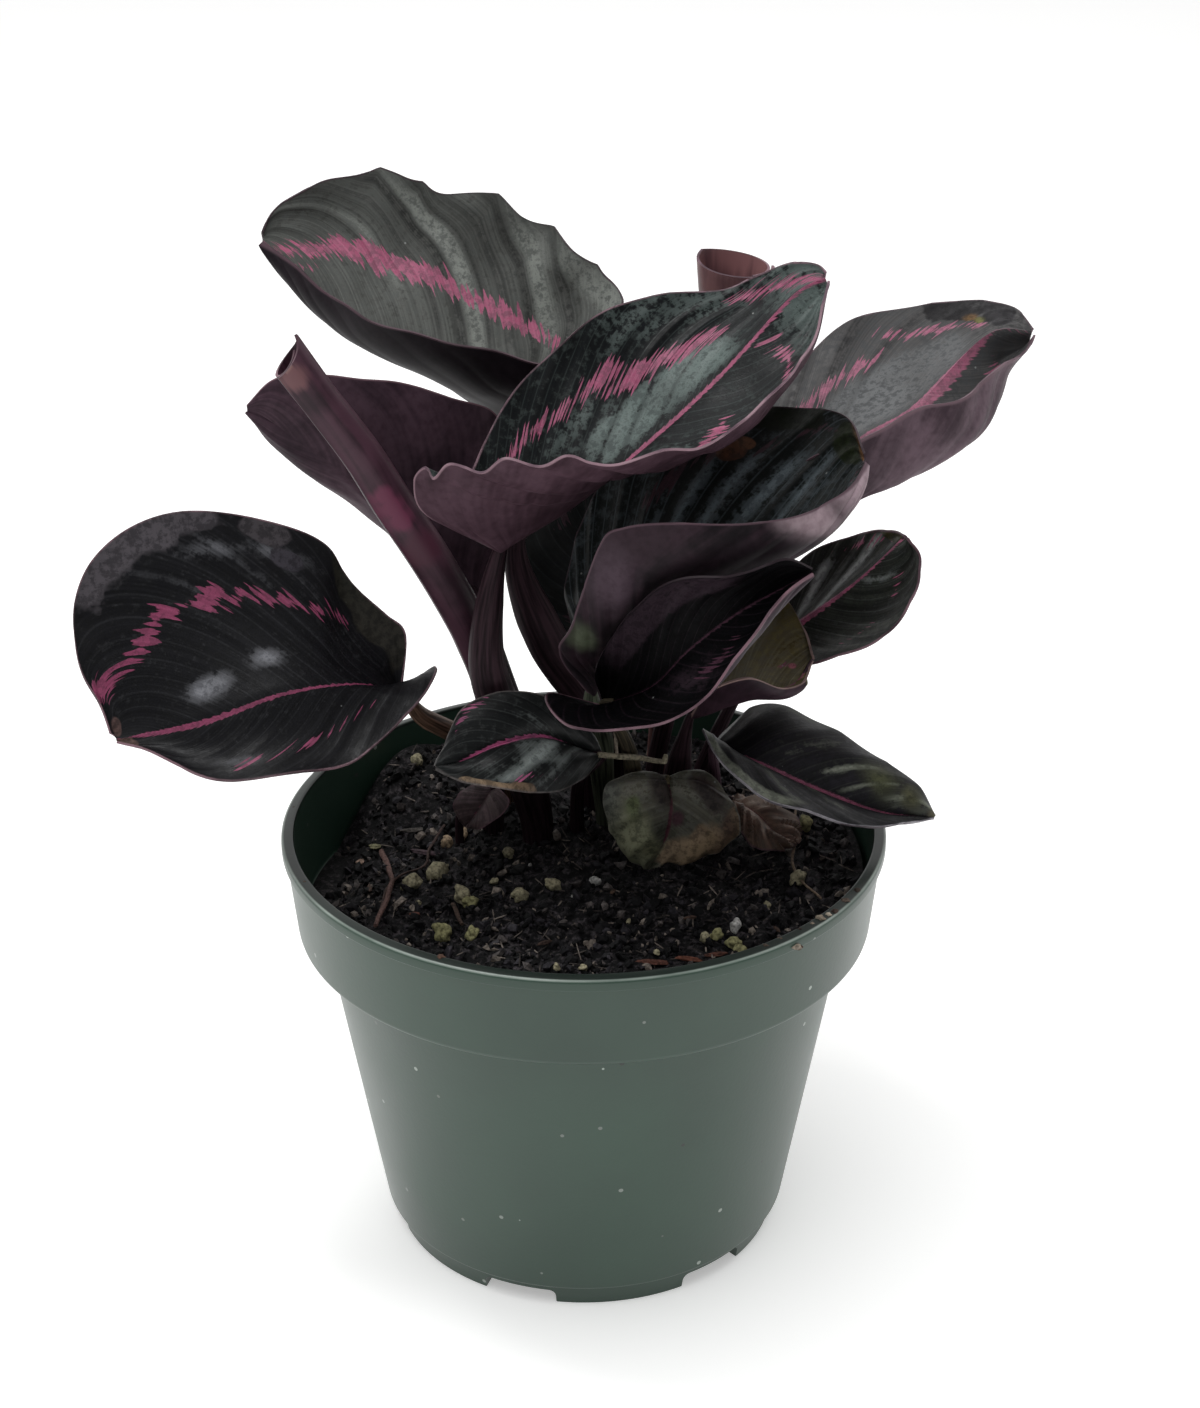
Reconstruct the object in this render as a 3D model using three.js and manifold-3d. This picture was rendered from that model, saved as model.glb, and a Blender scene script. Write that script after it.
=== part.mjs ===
// Potted calathea: a green nursery pot, the soil in it, and the leaves that stand in the soil.
// Millimetres, +Z up, origin at the centre of the pot's underside. The viewer stands on the -Y side.
import * as THREE from 'three';
import { mergeVertices } from 'three/addons/utils/BufferGeometryUtils.js';
import Module from 'manifold-3d';

const wasm = await Module();
wasm.setup();

// ---- driving dimensions ----

const potHeight = 117.4;
const rimRadius = 80;
const lipWidth = 3.2;
const lipDepth = 3;
const lipOverhang = 1;
const lipSlope = 0.6;
const bandHeight = 26.6;
const bandFootRadius = 76.5;
const bodyTopRadius = 70;
const bodyFootRadius = 55.5;
const footRadius = 52.5;
const footHeight = 6;
const footFlare = 1.2;
const kneeRise = 0.8;
const wallThickness = 1.6;
const floorThickness = 2;
const potSegments = 48;

const drainCount = 6;
const drainWidth = 20;
const drainHeight = 4.2;
const drainReach = 9;
const firstDrainAngle = 251;

const gap = 0.3;
const soilSegments = 36;
const soilRings = 5;
const soilLevel = 101;
const soilRise = { right: 0.07, back: 0.075 };
const soilMounds = [
  { x: 4, y: 22, height: 4, spread: 22 },
  { x: -52, y: 54, height: 11, spread: 13 },
  { x: -70, y: 20, height: -6.5, spread: 16 },
];
const holeClearance = 1;
const holeHeight = 24;
const holeSides = 8;

const bladeThickness = 0.8;
const ribRidge = 0.6;
const endInset = 0.012;
const endEasing = 0.4;
const stalkSides = 6;
const stalkOverlap = 0.07;
const stalkEndRadius = 0.7;
const stalkStepsPerSpan = 2;

// ---- the leaves ----
// Each leaf is looked at from its base to its tip, upper side up. rib runs along the midrib,
// left and right along the edges between base and tip, and stalk from the soil to the base.
// bulge is how far the middle of each half sinks towards the underside, and wave is the small
// rise and fall of the left and right edges.

const leaves = {
  leaf_back_left: {
    rib: [[-6, 48, 208], [-26, 52, 214], [-49, 60, 229], [-69, 68, 241], [-87, 76, 254]],
    left: [[2, 40, 230], [-12, 34, 234], [-29, 30, 240], [-42, 32, 242], [-54, 38, 244],
      [-64, 48, 246], [-75, 62, 250], [-81, 70, 252]],
    right: [[10, 66, 240], [2, 74, 248], [-10, 80, 257], [-28, 86, 264], [-42, 88, 265],
      [-52, 90, 269], [-67, 88, 268], [-77, 84, 264], [-84, 80, 260]],
    bulge: [7, 5],
    wave: { left: 0.5, right: 1.5, count: 6 },
    stalk: [[2, 30, 92], [2, 30, 110], [2, 26, 138], [-10, 24, 160], [-18, 29, 182],
      [-14, 40, 198], [-6, 48, 208]],
    stalkRadii: [3, 3.6, 5, 6, 5.4, 2.6, 1.6],
    stations: 28,
    color: '#2c3431',
  },
  leaf_front_centre: {
    rib: [[-21, 0, 196], [-4, 0, 207], [14, 4, 221], [34, 12, 238], [52, 20, 256], [62, 25, 260]],
    left: [[-32, 4, 206], [-28, 10, 214], [-20, 20, 228], [-8, 28, 239], [4, 31, 248],
      [17, 34, 252], [35, 36, 253], [45, 36, 257], [53, 33, 261], [59, 29, 262]],
    right: [[-39, -11, 211], [-41, -18, 222], [-38, -21, 227], [-36, -23, 225],
      [-32, -26, 230], [-24, -30, 229], [-18, -33, 234], [-10, -35, 233], [-4, -36, 236], [2, -36, 234], [9, -35, 233], [20, -33, 236],
      [28, -30, 236], [38, -24, 239], [45, -17, 244], [52, -8, 248], [57, 2, 252], [60, 14, 258]],
    bulge: [4, 8.5],
    wave: { left: 0.4, right: 0.4, count: 6 },
    stalk: [[-13, 16, 92], [-13, 16, 110], [-18, 6, 137], [-25, 1, 165], [-21, 0, 196]],
    stalkRadii: [3.4, 4.8, 5.8, 5.2, 3.6],
    stations: 24,
    color: '#2f3a36',
  },
  leaf_left_purple: {
    rib: [[-28, 26, 172], [-40, 17, 187], [-51, 12, 201], [-60, 9, 212], [-71, 8, 222],
      [-80, 8, 229], [-85, 8, 231]],
    left: [[-22, 28, 190], [-20, 30, 208], [-23, 29, 222], [-34, 19, 230], [-46, 14, 236],
      [-56, 11, 238], [-66, 8, 240], [-77, 8, 239]],
    right: [[-35, 32, 171], [-48, 30, 189], [-57, 26, 199], [-68, 20, 208], [-78, 13, 219]],
    bulge: [2, 3],
    wave: { left: 0.6, right: 0.6, count: 4 },
    stalk: [[-14, 38, 92], [-14, 38, 112], [-21, 34, 142], [-28, 26, 172]],
    stalkRadii: [2.4, 2.6, 2.6, 1.8],
    stations: 16,
    color: '#5a434d',
  },
  leaf_back_right: {
    rib: [[40, 30, 182], [57, 30, 200], [72, 34, 213], [87, 42, 219], [107, 58, 233],
      [121, 64, 232]],
    left: [[42, 56, 201], [59, 72, 221], [78, 84, 230], [103, 86, 233], [116, 76, 235]],
    right: [[55, 8, 215], [67, 8, 222], [84, 14, 228], [96, 24, 228], [109, 42, 230],
      [117, 54, 230]],
    bulge: [4, 15],
    wave: { left: 0.6, right: 0.6, count: 4 },
    stalk: [[19, 35, 92], [19, 35, 112], [27, 35, 150], [40, 30, 182]],
    stalkRadii: [2.4, 2.6, 2.6, 1.6],
    stations: 18,
    color: '#39403d',
  },
  leaf_centre_right: {
    rib: [[2, -6, 158], [7, -11, 174], [14, -17, 185], [27, -21, 194], [44, -21, 199],
      [58, -18, 210], [70, -8, 224]],
    left: [[-4, 12, 173], [-5, 14, 179], [-3, 18, 187], [2, 22, 200], [9, 24, 212],
      [19, 25, 220], [32, 26, 225], [43, 26, 225], [55, 22, 226], [66, 8, 229]],
    right: [[-6, -24, 179], [-2, -32, 191], [4, -38, 214], [10, -40, 219], [26, -40, 220],
      [50, -34, 219], [61, -24, 220], [67, -16, 222]],
    bulge: [3, 7],
    wave: { left: 0.6, right: 0.6, count: 4 },
    stalk: [[6, 20, 92], [6, 20, 108], [5, 16, 122], [4, 8, 138], [2, -6, 158]],
    stalkRadii: [2.4, 2.8, 3.2, 3.8, 3],
    stations: 18,
    color: '#4d3b46',
  },
  leaf_front_black: {
    rib: [[5, -22, 163], [17, -34, 174], [26, -40, 187], [38, -42, 198], [56, -38, 207]],
    left: [[4, -29, 179], [18, -42, 204], [38, -46, 210], [48, -43, 212]],
    right: [[-9, -32, 171], [-2, -48, 170], [16, -58, 175], [29, -60, 184], [40, -56, 197],
      [48, -47, 205]],
    bulge: [2, 4],
    wave: { left: 0.6, right: 0.6, count: 3 },
    stalk: [[14, 13, 92], [14, 13, 110], [13, 7, 130], [10, -8, 148], [5, -22, 163]],
    stalkRadii: [2.2, 2.4, 2.4, 2, 1.6],
    stations: 16,
    color: '#26282a',
  },
  leaf_small_olive: {
    rib: [[28, 4, 147], [41, 0, 154], [54, 2, 157], [60, 8, 162]],
    left: [[31, 24, 160], [43, 30, 168], [53, 28, 170], [58, 20, 165]],
    right: [[33, -12, 163], [41, -16, 168], [50, -8, 161], [57, 2, 158]],
    bulge: [3, 3],
    wave: { left: 0.4, right: 0.4, count: 2 },
    stalk: [[25, 18, 92], [25, 18, 110], [25.5, 13, 128], [28, 4, 147]],
    stalkRadii: [3.4, 4.2, 4.6, 3.4, 1.8],
    stations: 12,
    color: '#4c4637',
  },
  leaf_small_right: {
    rib: [[51, 30, 157], [65, 26, 170], [75, 24, 180], [84, 21, 191]],
    left: [[52, 40, 167], [61, 44, 176], [71, 42, 182], [80, 32, 188]],
    right: [[57, 14, 158], [66, 6, 163], [77, 2, 171], [85, 5, 180], [87, 12, 188]],
    bulge: [4, 4],
    wave: { left: 0.4, right: 0.4, count: 3 },
    stalk: [[30, 27, 92], [30, 27, 112], [40, 29, 138], [51, 30, 157]],
    stalkRadii: [2.2, 2.2, 2, 1.4],
    stations: 14,
    color: '#31413a',
  },
  leaf_low_right: {
    rib: [[34, 2, 139], [46, -6, 138], [62, -10, 132], [77, -12, 127], [92, -12, 125]],
    left: [[38, 10, 140], [46, 14, 145], [57, 12, 144], [73, 4, 138], [87, -4, 131]],
    right: [[31, -2, 146], [36, -12, 141], [44, -20, 137], [58, -24, 133], [74, -22, 128],
      [85, -16, 126]],
    bulge: [-3, -1],
    wave: { left: 0.4, right: 0.4, count: 4 },
    stalk: [[36, 16, 92], [36, 16, 110], [35, 9, 126], [34, 2, 139]],
    stalkRadii: [2, 2, 1.8, 1.4],
    stations: 14,
    color: '#2b2f31',
  },
  leaf_low_centre: {
    rib: [[5, -4, 139], [-10, -10, 148], [-21, -16, 149], [-31, -20, 146], [-38, -22, 145]],
    left: [[0, -14, 138], [-8, -22, 138], [-18, -28, 142], [-30, -26, 143]],
    right: [[2, -3, 146], [-9, -4, 156], [-21, -6, 159], [-31, -10, 156], [-36, -17, 148]],
    bulge: [-3, -2],
    wave: { left: 0.4, right: 0.4, count: 3 },
    stalk: [[-2, 18, 92], [-2, 18, 108], [-1, 8, 126], [5, -4, 139]],
    stalkRadii: [2, 2, 1.8, 1.4],
    stations: 12,
    color: '#363d3c',
  },
  leaf_hanging: {
    rib: [[22, 3, 129], [23, -5, 124], [21, -6, 114], [17, -3, 105]],
    left: [[29, 3, 131], [36, 0, 130], [41, -3, 121], [40, -5, 114], [31, -5, 109], [22, -4, 108]],
    right: [[15, 2, 131], [7, -2, 131], [5, -4, 125], [8, -5, 115], [13, -4, 108]],
    bulge: [-2, -2],
    wave: { left: 0.4, right: 0.4, count: 3 },
    stalk: [[15, 25, 92], [15, 25, 109], [17, 16, 120], [22, 3, 129]],
    stalkRadii: [2.4, 2.6, 2.4, 1.6],
    stations: 12,
    color: '#4e4b3a',
  },
  leaf_low_left: {
    rib: [[-47, -2, 157], [-59, -12, 164], [-76, -20, 165], [-96, -24, 159], [-119, -22, 153]],
    left: [[-38, -2, 164], [-40, -12, 162], [-45, -18, 158], [-52, -26, 154], [-60, -32, 151],
      [-78, -38, 151], [-88, -38, 150], [-97, -36, 151], [-108, -30, 154]],
    right: [[-46, 5, 170], [-51, 7, 175], [-58, 9, 181], [-62, 10, 186], [-66, 10, 193],
      [-75, 10, 198], [-90, 10, 202], [-104, 8, 203], [-116, 4, 200], [-125, 0, 193],
      [-129, -5, 184], [-129, -9, 174], [-127, -13, 167], [-122, -18, 160]],
    bulge: [2, 4],
    wave: { left: 0.4, right: 0.4, count: 4 },
    stalk: [[-22, 36, 92], [-22, 36, 108], [-26, 33, 119], [-34, 26, 130], [-43, 12, 143],
      [-47, -2, 157]],
    stalkRadii: [2.2, 2.4, 2.6, 2.8, 2.6, 1.8],
    stations: 26,
    color: '#232a29',
  },
  leaf_back_upright: {
    rib: [[8, 38, 148], [5, 40, 168], [1, 42, 186], [0, 44, 200]],
    left: [[-10, 34, 154], [-20, 36, 168], [-15, 42, 186]],
    right: [[20, 42, 160], [22, 46, 178], [13, 46, 193]],
    bulge: [3, 3],
    wave: { left: 0.4, right: 0.4, count: 3 },
    stalk: [[9, 40, 92], [9, 40, 112], [9, 38, 130], [8, 38, 148]],
    stalkRadii: [2.2, 2.4, 2.4, 1.6],
    stations: 14,
    color: '#25292b',
  },
  leaf_dry: {
    rib: [[39, 12, 118], [46, 8, 116], [51, 5, 112], [57, 3, 109]],
    left: [[44, 18, 115], [52, 16, 114], [58, 12, 111], [58, 8, 109]],
    right: [[40, 4, 116], [44, 0, 111], [51, -1, 109]],
    bulge: [-2, -2],
    wave: { left: 0.6, right: 0.6, count: 3 },
    stalk: [[40, 22, 92], [40, 22, 110], [39, 12, 118]],
    stalkRadii: [1.4, 1.4, 1.2],
    stations: 10,
    color: '#8a6a55',
  },
  sheath_withered: {
    rib: [[-24, 12, 122], [-27, 11, 118], [-30, 11, 113], [-32, 13, 109]],
    left: [[-20, 8, 120], [-22, 7, 116], [-28, 8, 111]],
    right: [[-30, 14, 121], [-34, 14, 118], [-35, 14, 113]],
    bulge: [-1, -1],
    wave: { left: 0.3, right: 0.3, count: 2 },
    stalk: [[-34, 20, 92], [-34, 20, 108], [-31, 17, 118], [-24, 12, 122]],
    stalkRadii: [1.2, 1.2, 1.1, 1.1],
    stations: 7,
    color: '#7b5f55',
  },
};

// A young leaf still rolled up: its sheet winds round the path, and its mouth is cut at a slant
// that leaves a spike on the side it turns away from.
// radius is the sheet's inner turn along the path. Angles run from the right (0) to the back (90).
const rolledLeaves = {
  rolled_leaf_left: {
    path: [[-24, 20, 130], [-25, 17, 149], [-29, 13, 165], [-33.5, 8.5, 178], [-40, 4, 193],
      [-48, 1, 208], [-55.5, -2, 223], [-65, -5, 238.5], [-74, -7, 253]],
    radius: [2.8, 3.6, 4, 4.2, 4.3, 4.2, 4, 3.8, 4.2],
    innerAngle: 685,
    outerAngle: 235,
    mouth: { faces: 180, depth: 0.045 },
    stalk: [[-25, 23, 92], [-25, 23, 112], [-24, 20, 136]],
    stalkRadii: [2.8, 3.2, 3.4],
    color: '#7a5550',
  },
  rolled_leaf_back: {
    path: [[22, 47, 130], [27, 50, 165], [33, 51, 205], [38, 51, 234], [39.5, 51, 257]],
    radius: [2.6, 3.2, 4, 5, 9],
    innerAngle: -60,
    outerAngle: 370,
    mouth: { faces: 330, depth: 0.02 },
    stalk: [[20, 47, 92], [20, 47, 108], [22, 47, 138]],
    stalkRadii: [2.4, 2.8, 3.2],
    color: '#8a625c',
  },
};

const rollStations = 9;
const rollSteps = 16;
const rollPitch = 1.5;
const mouthEasing = 0.4;
const bladeColumns = 3;
const soilColor = '#3a3434';
const satinRoughness = 0.5;
const soilRoughness = 0.95;
const potColor = '#50605a';

// ---- geometry helpers ----

function vector([x, y, z]) {
  return new THREE.Vector3(x, y, z);
}

function curveThrough(points) {
  return new THREE.CatmullRomCurve3(points.map(vector), false, 'catmullrom', 0.5);
}

// Two unit directions square to a curve's heading: to its right as the viewer sees it, and away.
function crossFrame(heading) {
  const right = new THREE.Vector3(0, 1, 0).cross(heading).normalize();
  const away = heading.clone().cross(right).normalize();
  return { right, away };
}

function pointAround(centre, heading, radius, degrees) {
  const { right, away } = crossFrame(heading);
  const angle = THREE.MathUtils.degToRad(degrees);
  const point = centre.clone().addScaledVector(right, Math.cos(angle) * radius);
  return point.addScaledVector(away, Math.sin(angle) * radius);
}

function geometryFrom(positions, triangles) {
  const geometry = new THREE.BufferGeometry();
  geometry.setAttribute('position', new THREE.Float32BufferAttribute(positions, 3));
  geometry.setIndex(triangles);
  return geometry;
}

function solidFrom(geometry) {
  const bare = geometry.clone();
  bare.deleteAttribute('normal');
  bare.deleteAttribute('uv');
  const merged = mergeVertices(bare, 1e-4);
  const vertProperties = new Float32Array(merged.attributes.position.array);
  const triVerts = new Uint32Array(merged.index.array);
  return new wasm.Manifold(new wasm.Mesh({ numProp: 3, vertProperties, triVerts }));
}

function geometryOf(solid) {
  const mesh = solid.getMesh();
  const geometry = geometryFrom(Array.from(mesh.vertProperties), Array.from(mesh.triVerts));
  geometry.computeVertexNormals();
  return geometry;
}

function namedMesh(name, solid, color, roughness) {
  const material = new THREE.MeshStandardMaterial({ color, roughness, metalness: 0 });
  const mesh = new THREE.Mesh(geometryOf(solid), material);
  mesh.name = name;
  return mesh;
}

// A tube of changing radius along a curve, closed at both ends.
function tubeSolid(points, radii, grow = 0) {
  const curve = curveThrough(points);
  const steps = (points.length - 1) * stalkStepsPerSpan;
  const positions = [];
  for (let i = 0; i <= steps; i += 1) {
    const along = i / steps;
    const centre = curve.getPointAt(along);
    const heading = curve.getTangentAt(along);
    const radius = valueAlong(radii, along) + grow;
    for (let k = 0; k < stalkSides; k += 1) {
      positions.push(...pointAround(centre, heading, radius, (360 * k) / stalkSides).toArray());
    }
  }
  const triangles = [];
  for (let i = 0; i < steps; i += 1) {
    for (let k = 0; k < stalkSides; k += 1) {
      const next = (k + 1) % stalkSides;
      const a = i * stalkSides + k;
      const b = i * stalkSides + next;
      triangles.push(a, b, b + stalkSides, a, b + stalkSides, a + stalkSides);
    }
  }
  const last = steps * stalkSides;
  for (let k = 1; k < stalkSides - 1; k += 1) {
    triangles.push(0, k + 1, k, last, last + k, last + k + 1);
  }
  return solidFrom(geometryFrom(positions, triangles));
}

// The value at a share of the way along a list of values that stand at even steps.
function valueAlong(values, share) {
  const place = share * (values.length - 1);
  const index = Math.min(Math.floor(place), values.length - 2);
  return THREE.MathUtils.lerp(values[index], values[index + 1], place - index);
}

// Unit normals of a grid of points, on the side that (along, across) turns towards.
function gridNormals(grid) {
  const lastRow = grid.length - 1;
  const lastColumn = grid[0].length - 1;
  return grid.map((row, i) => row.map((point, j) => {
    const ahead = grid[Math.min(i + 1, lastRow)][j];
    const behind = grid[Math.max(i - 1, 0)][j];
    const left = grid[i][Math.min(j + 1, lastColumn)];
    const right = grid[i][Math.max(j - 1, 0)];
    const along = ahead.clone().sub(behind);
    const across = left.clone().sub(right);
    return along.cross(across).normalize();
  }));
}

// A closed sheet round a grid of points. Both faces have the same triangles.
function sheetSolid(grid, upper, lower) {
  const rows = grid.length;
  const columns = grid[0].length;
  const normals = gridNormals(grid);
  const positions = [];
  for (const offset of [upper, (j) => -lower(j)]) {
    for (let i = 0; i < rows; i += 1) {
      for (let j = 0; j < columns; j += 1) {
        const point = grid[i][j].clone().addScaledVector(normals[i][j], offset(j));
        positions.push(...point.toArray());
      }
    }
  }
  const under = rows * columns;
  const at = (i, j) => i * columns + j;
  const triangles = [];
  for (let i = 0; i < rows - 1; i += 1) {
    for (let j = 0; j < columns - 1; j += 1) {
      const [a, b, c, d] = [at(i, j), at(i + 1, j), at(i + 1, j + 1), at(i, j + 1)];
      triangles.push(a, b, c, a, c, d);
      triangles.push(under + a, under + c, under + b, under + a, under + d, under + c);
    }
  }
  const border = [];
  for (let i = 0; i < rows - 1; i += 1) border.push(at(i, 0));
  for (let j = 0; j < columns - 1; j += 1) border.push(at(rows - 1, j));
  for (let i = rows - 1; i > 0; i -= 1) border.push(at(i, columns - 1));
  for (let j = columns - 1; j > 0; j -= 1) border.push(at(0, j));
  border.forEach((p, index) => {
    const q = border[(index + 1) % border.length];
    triangles.push(q, p, under + p, q, under + p, under + q);
  });
  return solidFrom(geometryFrom(positions, triangles));
}

// ---- leaves ----

// Stations stand a little closer together at both ends, where the outline turns.
function stationAt(share) {
  const eased = 0.5 - 0.5 * Math.cos(Math.PI * share);
  return endInset + (1 - 2 * endInset) * ((1 - endEasing) * share + endEasing * eased);
}

function bladeGrid(leaf) {
  const base = leaf.rib[0];
  const tip = leaf.rib[leaf.rib.length - 1];
  const rib = curveThrough(leaf.rib);
  const edges = [leaf.left, leaf.right].map((edge) => curveThrough([base, ...edge, tip]));
  const grid = [];
  for (let i = 0; i <= leaf.stations; i += 1) {
    const s = stationAt(i / leaf.stations);
    const middle = rib.getPointAt(s);
    const along = rib.getTangentAt(s);
    const fullness = Math.sin(Math.PI * s);
    const ripple = fullness * Math.sin(2 * Math.PI * leaf.wave.count * s);
    const row = [];
    for (let j = -bladeColumns; j <= bladeColumns; j += 1) {
      const side = j > 0 ? 0 : 1;
      const t = Math.abs(j) / bladeColumns;
      const across = edges[side].getPointAt(s).sub(middle);
      const up = along.clone().cross(across).normalize().multiplyScalar(side === 0 ? 1 : -1);
      const rise = ripple * (side === 0 ? leaf.wave.left : leaf.wave.right);
      const sink = leaf.bulge[side] * 4 * t * (1 - t) * Math.sqrt(fullness);
      const point = middle.clone().addScaledVector(across, t);
      row.push(point.addScaledVector(up, rise * t ** 3 - sink));
    }
    grid.push(row);
  }
  return grid;
}

function leafSolid(leaf) {
  const half = bladeThickness / 2;
  const ridge = (j) => (j === bladeColumns ? half + ribRidge : half);
  const blade = sheetSolid(bladeGrid(leaf), () => half, ridge);
  const seat = curveThrough(leaf.rib).getPointAt(stalkOverlap).toArray();
  return blade.add(tubeSolid([...leaf.stalk, seat], [...leaf.stalkRadii, stalkEndRadius]));
}

function rollGrid(leaf) {
  const path = curveThrough(leaf.path);
  const grid = [];
  for (let i = 0; i <= rollStations; i += 1) {
    const row = [];
    for (let j = 0; j <= rollSteps; j += 1) {
      const wound = j / rollSteps;
      const angle = THREE.MathUtils.lerp(leaf.innerAngle, leaf.outerAngle, wound);
      const facing = Math.cos(THREE.MathUtils.degToRad(angle - leaf.mouth.faces));
      const cut = leaf.mouth.depth * ((1 + facing) / 2) ** mouthEasing;
      const share = (i / rollStations) * (1 - cut);
      const radius = valueAlong(leaf.radius, share) + rollPitch * wound;
      row.push(pointAround(path.getPointAt(share), path.getTangentAt(share), radius, angle));
    }
    grid.push(row);
  }
  return grid;
}

function rolledLeafSolid(leaf) {
  const half = bladeThickness / 2;
  const sheet = sheetSolid(rollGrid(leaf), () => half, () => half);
  return sheet.add(tubeSolid(leaf.stalk, leaf.stalkRadii));
}

// The plain round hole in the soil that a stalk stands in.
function stalkHole(leaf) {
  const [x, y, foot] = leaf.stalk[0];
  const radius = Math.max(...leaf.stalkRadii.slice(0, 2)) + holeClearance;
  const hole = new THREE.CylinderGeometry(radius, radius, holeHeight, holeSides).rotateX(Math.PI / 2);
  return solidFrom(hole.translate(x, y, foot - gap + holeHeight / 2));
}

// ---- pot and soil ----

function turnedGeometry(profile, segments) {
  const geometry = new THREE.LatheGeometry(profile.map(([r, z]) => new THREE.Vector2(r, z)), segments);
  return geometry.rotateX(Math.PI / 2);
}

const bandFoot = potHeight - bandHeight;
const lipFoot = potHeight - lipDepth;
const innerRim = rimRadius - lipWidth;
const ledge = bandFoot + wallThickness;
const innerBand = bandFootRadius - wallThickness;
const innerBody = bodyTopRadius - wallThickness;
const innerFoot = footRadius - wallThickness;
const innerKnee = bodyFootRadius - wallThickness;
const kneeHeight = footHeight + kneeRise;

function drainCutter(index) {
  const box = new THREE.BoxGeometry(drainReach * 2, drainWidth, drainHeight * 2);
  const angle = THREE.MathUtils.degToRad(firstDrainAngle + (360 / drainCount) * index);
  return box.translate(footRadius, 0, 0).rotateZ(angle);
}

function potSolid() {
  const profile = [
    [0, 0], [footRadius, 0], [footRadius + footFlare, footHeight], [bodyFootRadius, kneeHeight],
    [bodyTopRadius, bandFoot], [bandFootRadius, bandFoot], [rimRadius - lipOverhang, lipFoot],
    [rimRadius, lipFoot], [rimRadius, potHeight], [innerRim, potHeight + lipSlope],
    [innerBand, ledge], [innerBody, ledge], [innerKnee, kneeHeight],
    [innerFoot, floorThickness], [0, floorThickness],
  ];
  let pot = solidFrom(turnedGeometry(profile, potSegments));
  for (let index = 0; index < drainCount; index += 1) {
    pot = pot.subtract(solidFrom(drainCutter(index)));
  }
  return pot;
}

function soilHeight(x, y) {
  const level = soilLevel + soilRise.right * x + soilRise.back * y;
  return soilMounds.reduce((height, { x: across, y: back, height: rise, spread }) => (
    height + rise * Math.exp(-((x - across) ** 2 + (y - back) ** 2) / (2 * spread ** 2))), level);
}

function soilSolid() {
  const wall = [
    [0, floorThickness + gap], [innerFoot - gap, floorThickness + gap],
    [innerKnee - gap, kneeHeight], [innerBody - gap, ledge + gap], [innerBand - gap, ledge + gap],
  ];
  const top = [];
  for (let ring = 0; ring <= soilRings; ring += 1) {
    top.push([(innerBand - gap) * (1 - ring / soilRings), soilLevel]);
  }
  const profile = [...wall, ...top];
  const geometry = turnedGeometry(profile, soilSegments);
  const position = geometry.attributes.position;
  for (let i = 0; i < position.count; i += 1) {
    if (i % profile.length >= wall.length) {
      position.setZ(i, soilHeight(position.getX(i), position.getY(i)));
    }
  }
  let soil = solidFrom(geometry);
  for (const leaf of [...Object.values(leaves), ...Object.values(rolledLeaves)]) {
    soil = soil.subtract(stalkHole(leaf));
  }
  return soil;
}

// ---- the whole plant ----

const plant = new THREE.Group();
plant.add(namedMesh('pot', potSolid(), potColor, satinRoughness));
plant.add(namedMesh('soil', soilSolid(), soilColor, soilRoughness));
for (const [name, leaf] of Object.entries(leaves)) {
  plant.add(namedMesh(name, leafSolid(leaf), leaf.color, satinRoughness));
}
for (const [name, leaf] of Object.entries(rolledLeaves)) {
  plant.add(namedMesh(name, rolledLeafSolid(leaf), leaf.color, satinRoughness));
}

export default plant;
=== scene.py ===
import math
import random

import bmesh
import bpy
from mathutils import Euler, Matrix, Vector, noise


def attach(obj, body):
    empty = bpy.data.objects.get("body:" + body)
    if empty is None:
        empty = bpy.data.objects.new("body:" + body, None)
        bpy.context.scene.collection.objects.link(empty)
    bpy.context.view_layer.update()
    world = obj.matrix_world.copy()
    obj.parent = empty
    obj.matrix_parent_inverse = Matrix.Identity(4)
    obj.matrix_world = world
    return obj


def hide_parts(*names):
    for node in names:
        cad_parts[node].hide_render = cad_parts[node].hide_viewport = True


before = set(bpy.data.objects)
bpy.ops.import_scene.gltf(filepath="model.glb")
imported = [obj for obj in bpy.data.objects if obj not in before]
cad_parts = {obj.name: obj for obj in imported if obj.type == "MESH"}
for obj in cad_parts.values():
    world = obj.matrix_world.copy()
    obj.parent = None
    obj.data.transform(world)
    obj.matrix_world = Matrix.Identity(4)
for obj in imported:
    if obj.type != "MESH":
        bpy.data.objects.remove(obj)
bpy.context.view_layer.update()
mm = 0.001


# colours are written as sRGB hex and turned to linear here
def linearColor(hexValue):
    channels = [int(hexValue[i:i + 2], 16) / 255 for i in (1, 3, 5)]
    linear = [c / 12.92 if c <= 0.04045 else ((c + 0.055) / 1.055) ** 2.4 for c in channels]
    return (*linear, 1)


# an input is a number, a colour, a socket, or a node whose first live output is meant
def addNode(tree, kind, settings=None, inputs=None):
    node = tree.nodes.new("ShaderNode" + kind)
    for name, value in (settings or {}).items():
        setattr(node, name, value)
    for key, value in (inputs or {}).items():
        if isinstance(value, bpy.types.Node):
            value = next(output for output in value.outputs if output.enabled)
        if isinstance(value, bpy.types.NodeSocket):
            tree.links.new(value, node.inputs[key])
        else:
            node.inputs[key].default_value = value
    return node


# settings that many nodes share; a Mix of colours takes its share at 0 and its colours at 6 and 7,
# a Map Range takes its value at 0, the range it is in at 1 and 2, and the range it is to be in at 3 and 4
colorMix = {"data_type": "RGBA"}
darkening = {"data_type": "RGBA", "blend_type": "MULTIPLY"}
eased = {"interpolation_type": "SMOOTHSTEP"}
scaledSum = {"operation": "MULTIPLY_ADD"}  # the first times the second, plus the third
product = {"operation": "MULTIPLY"}


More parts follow.
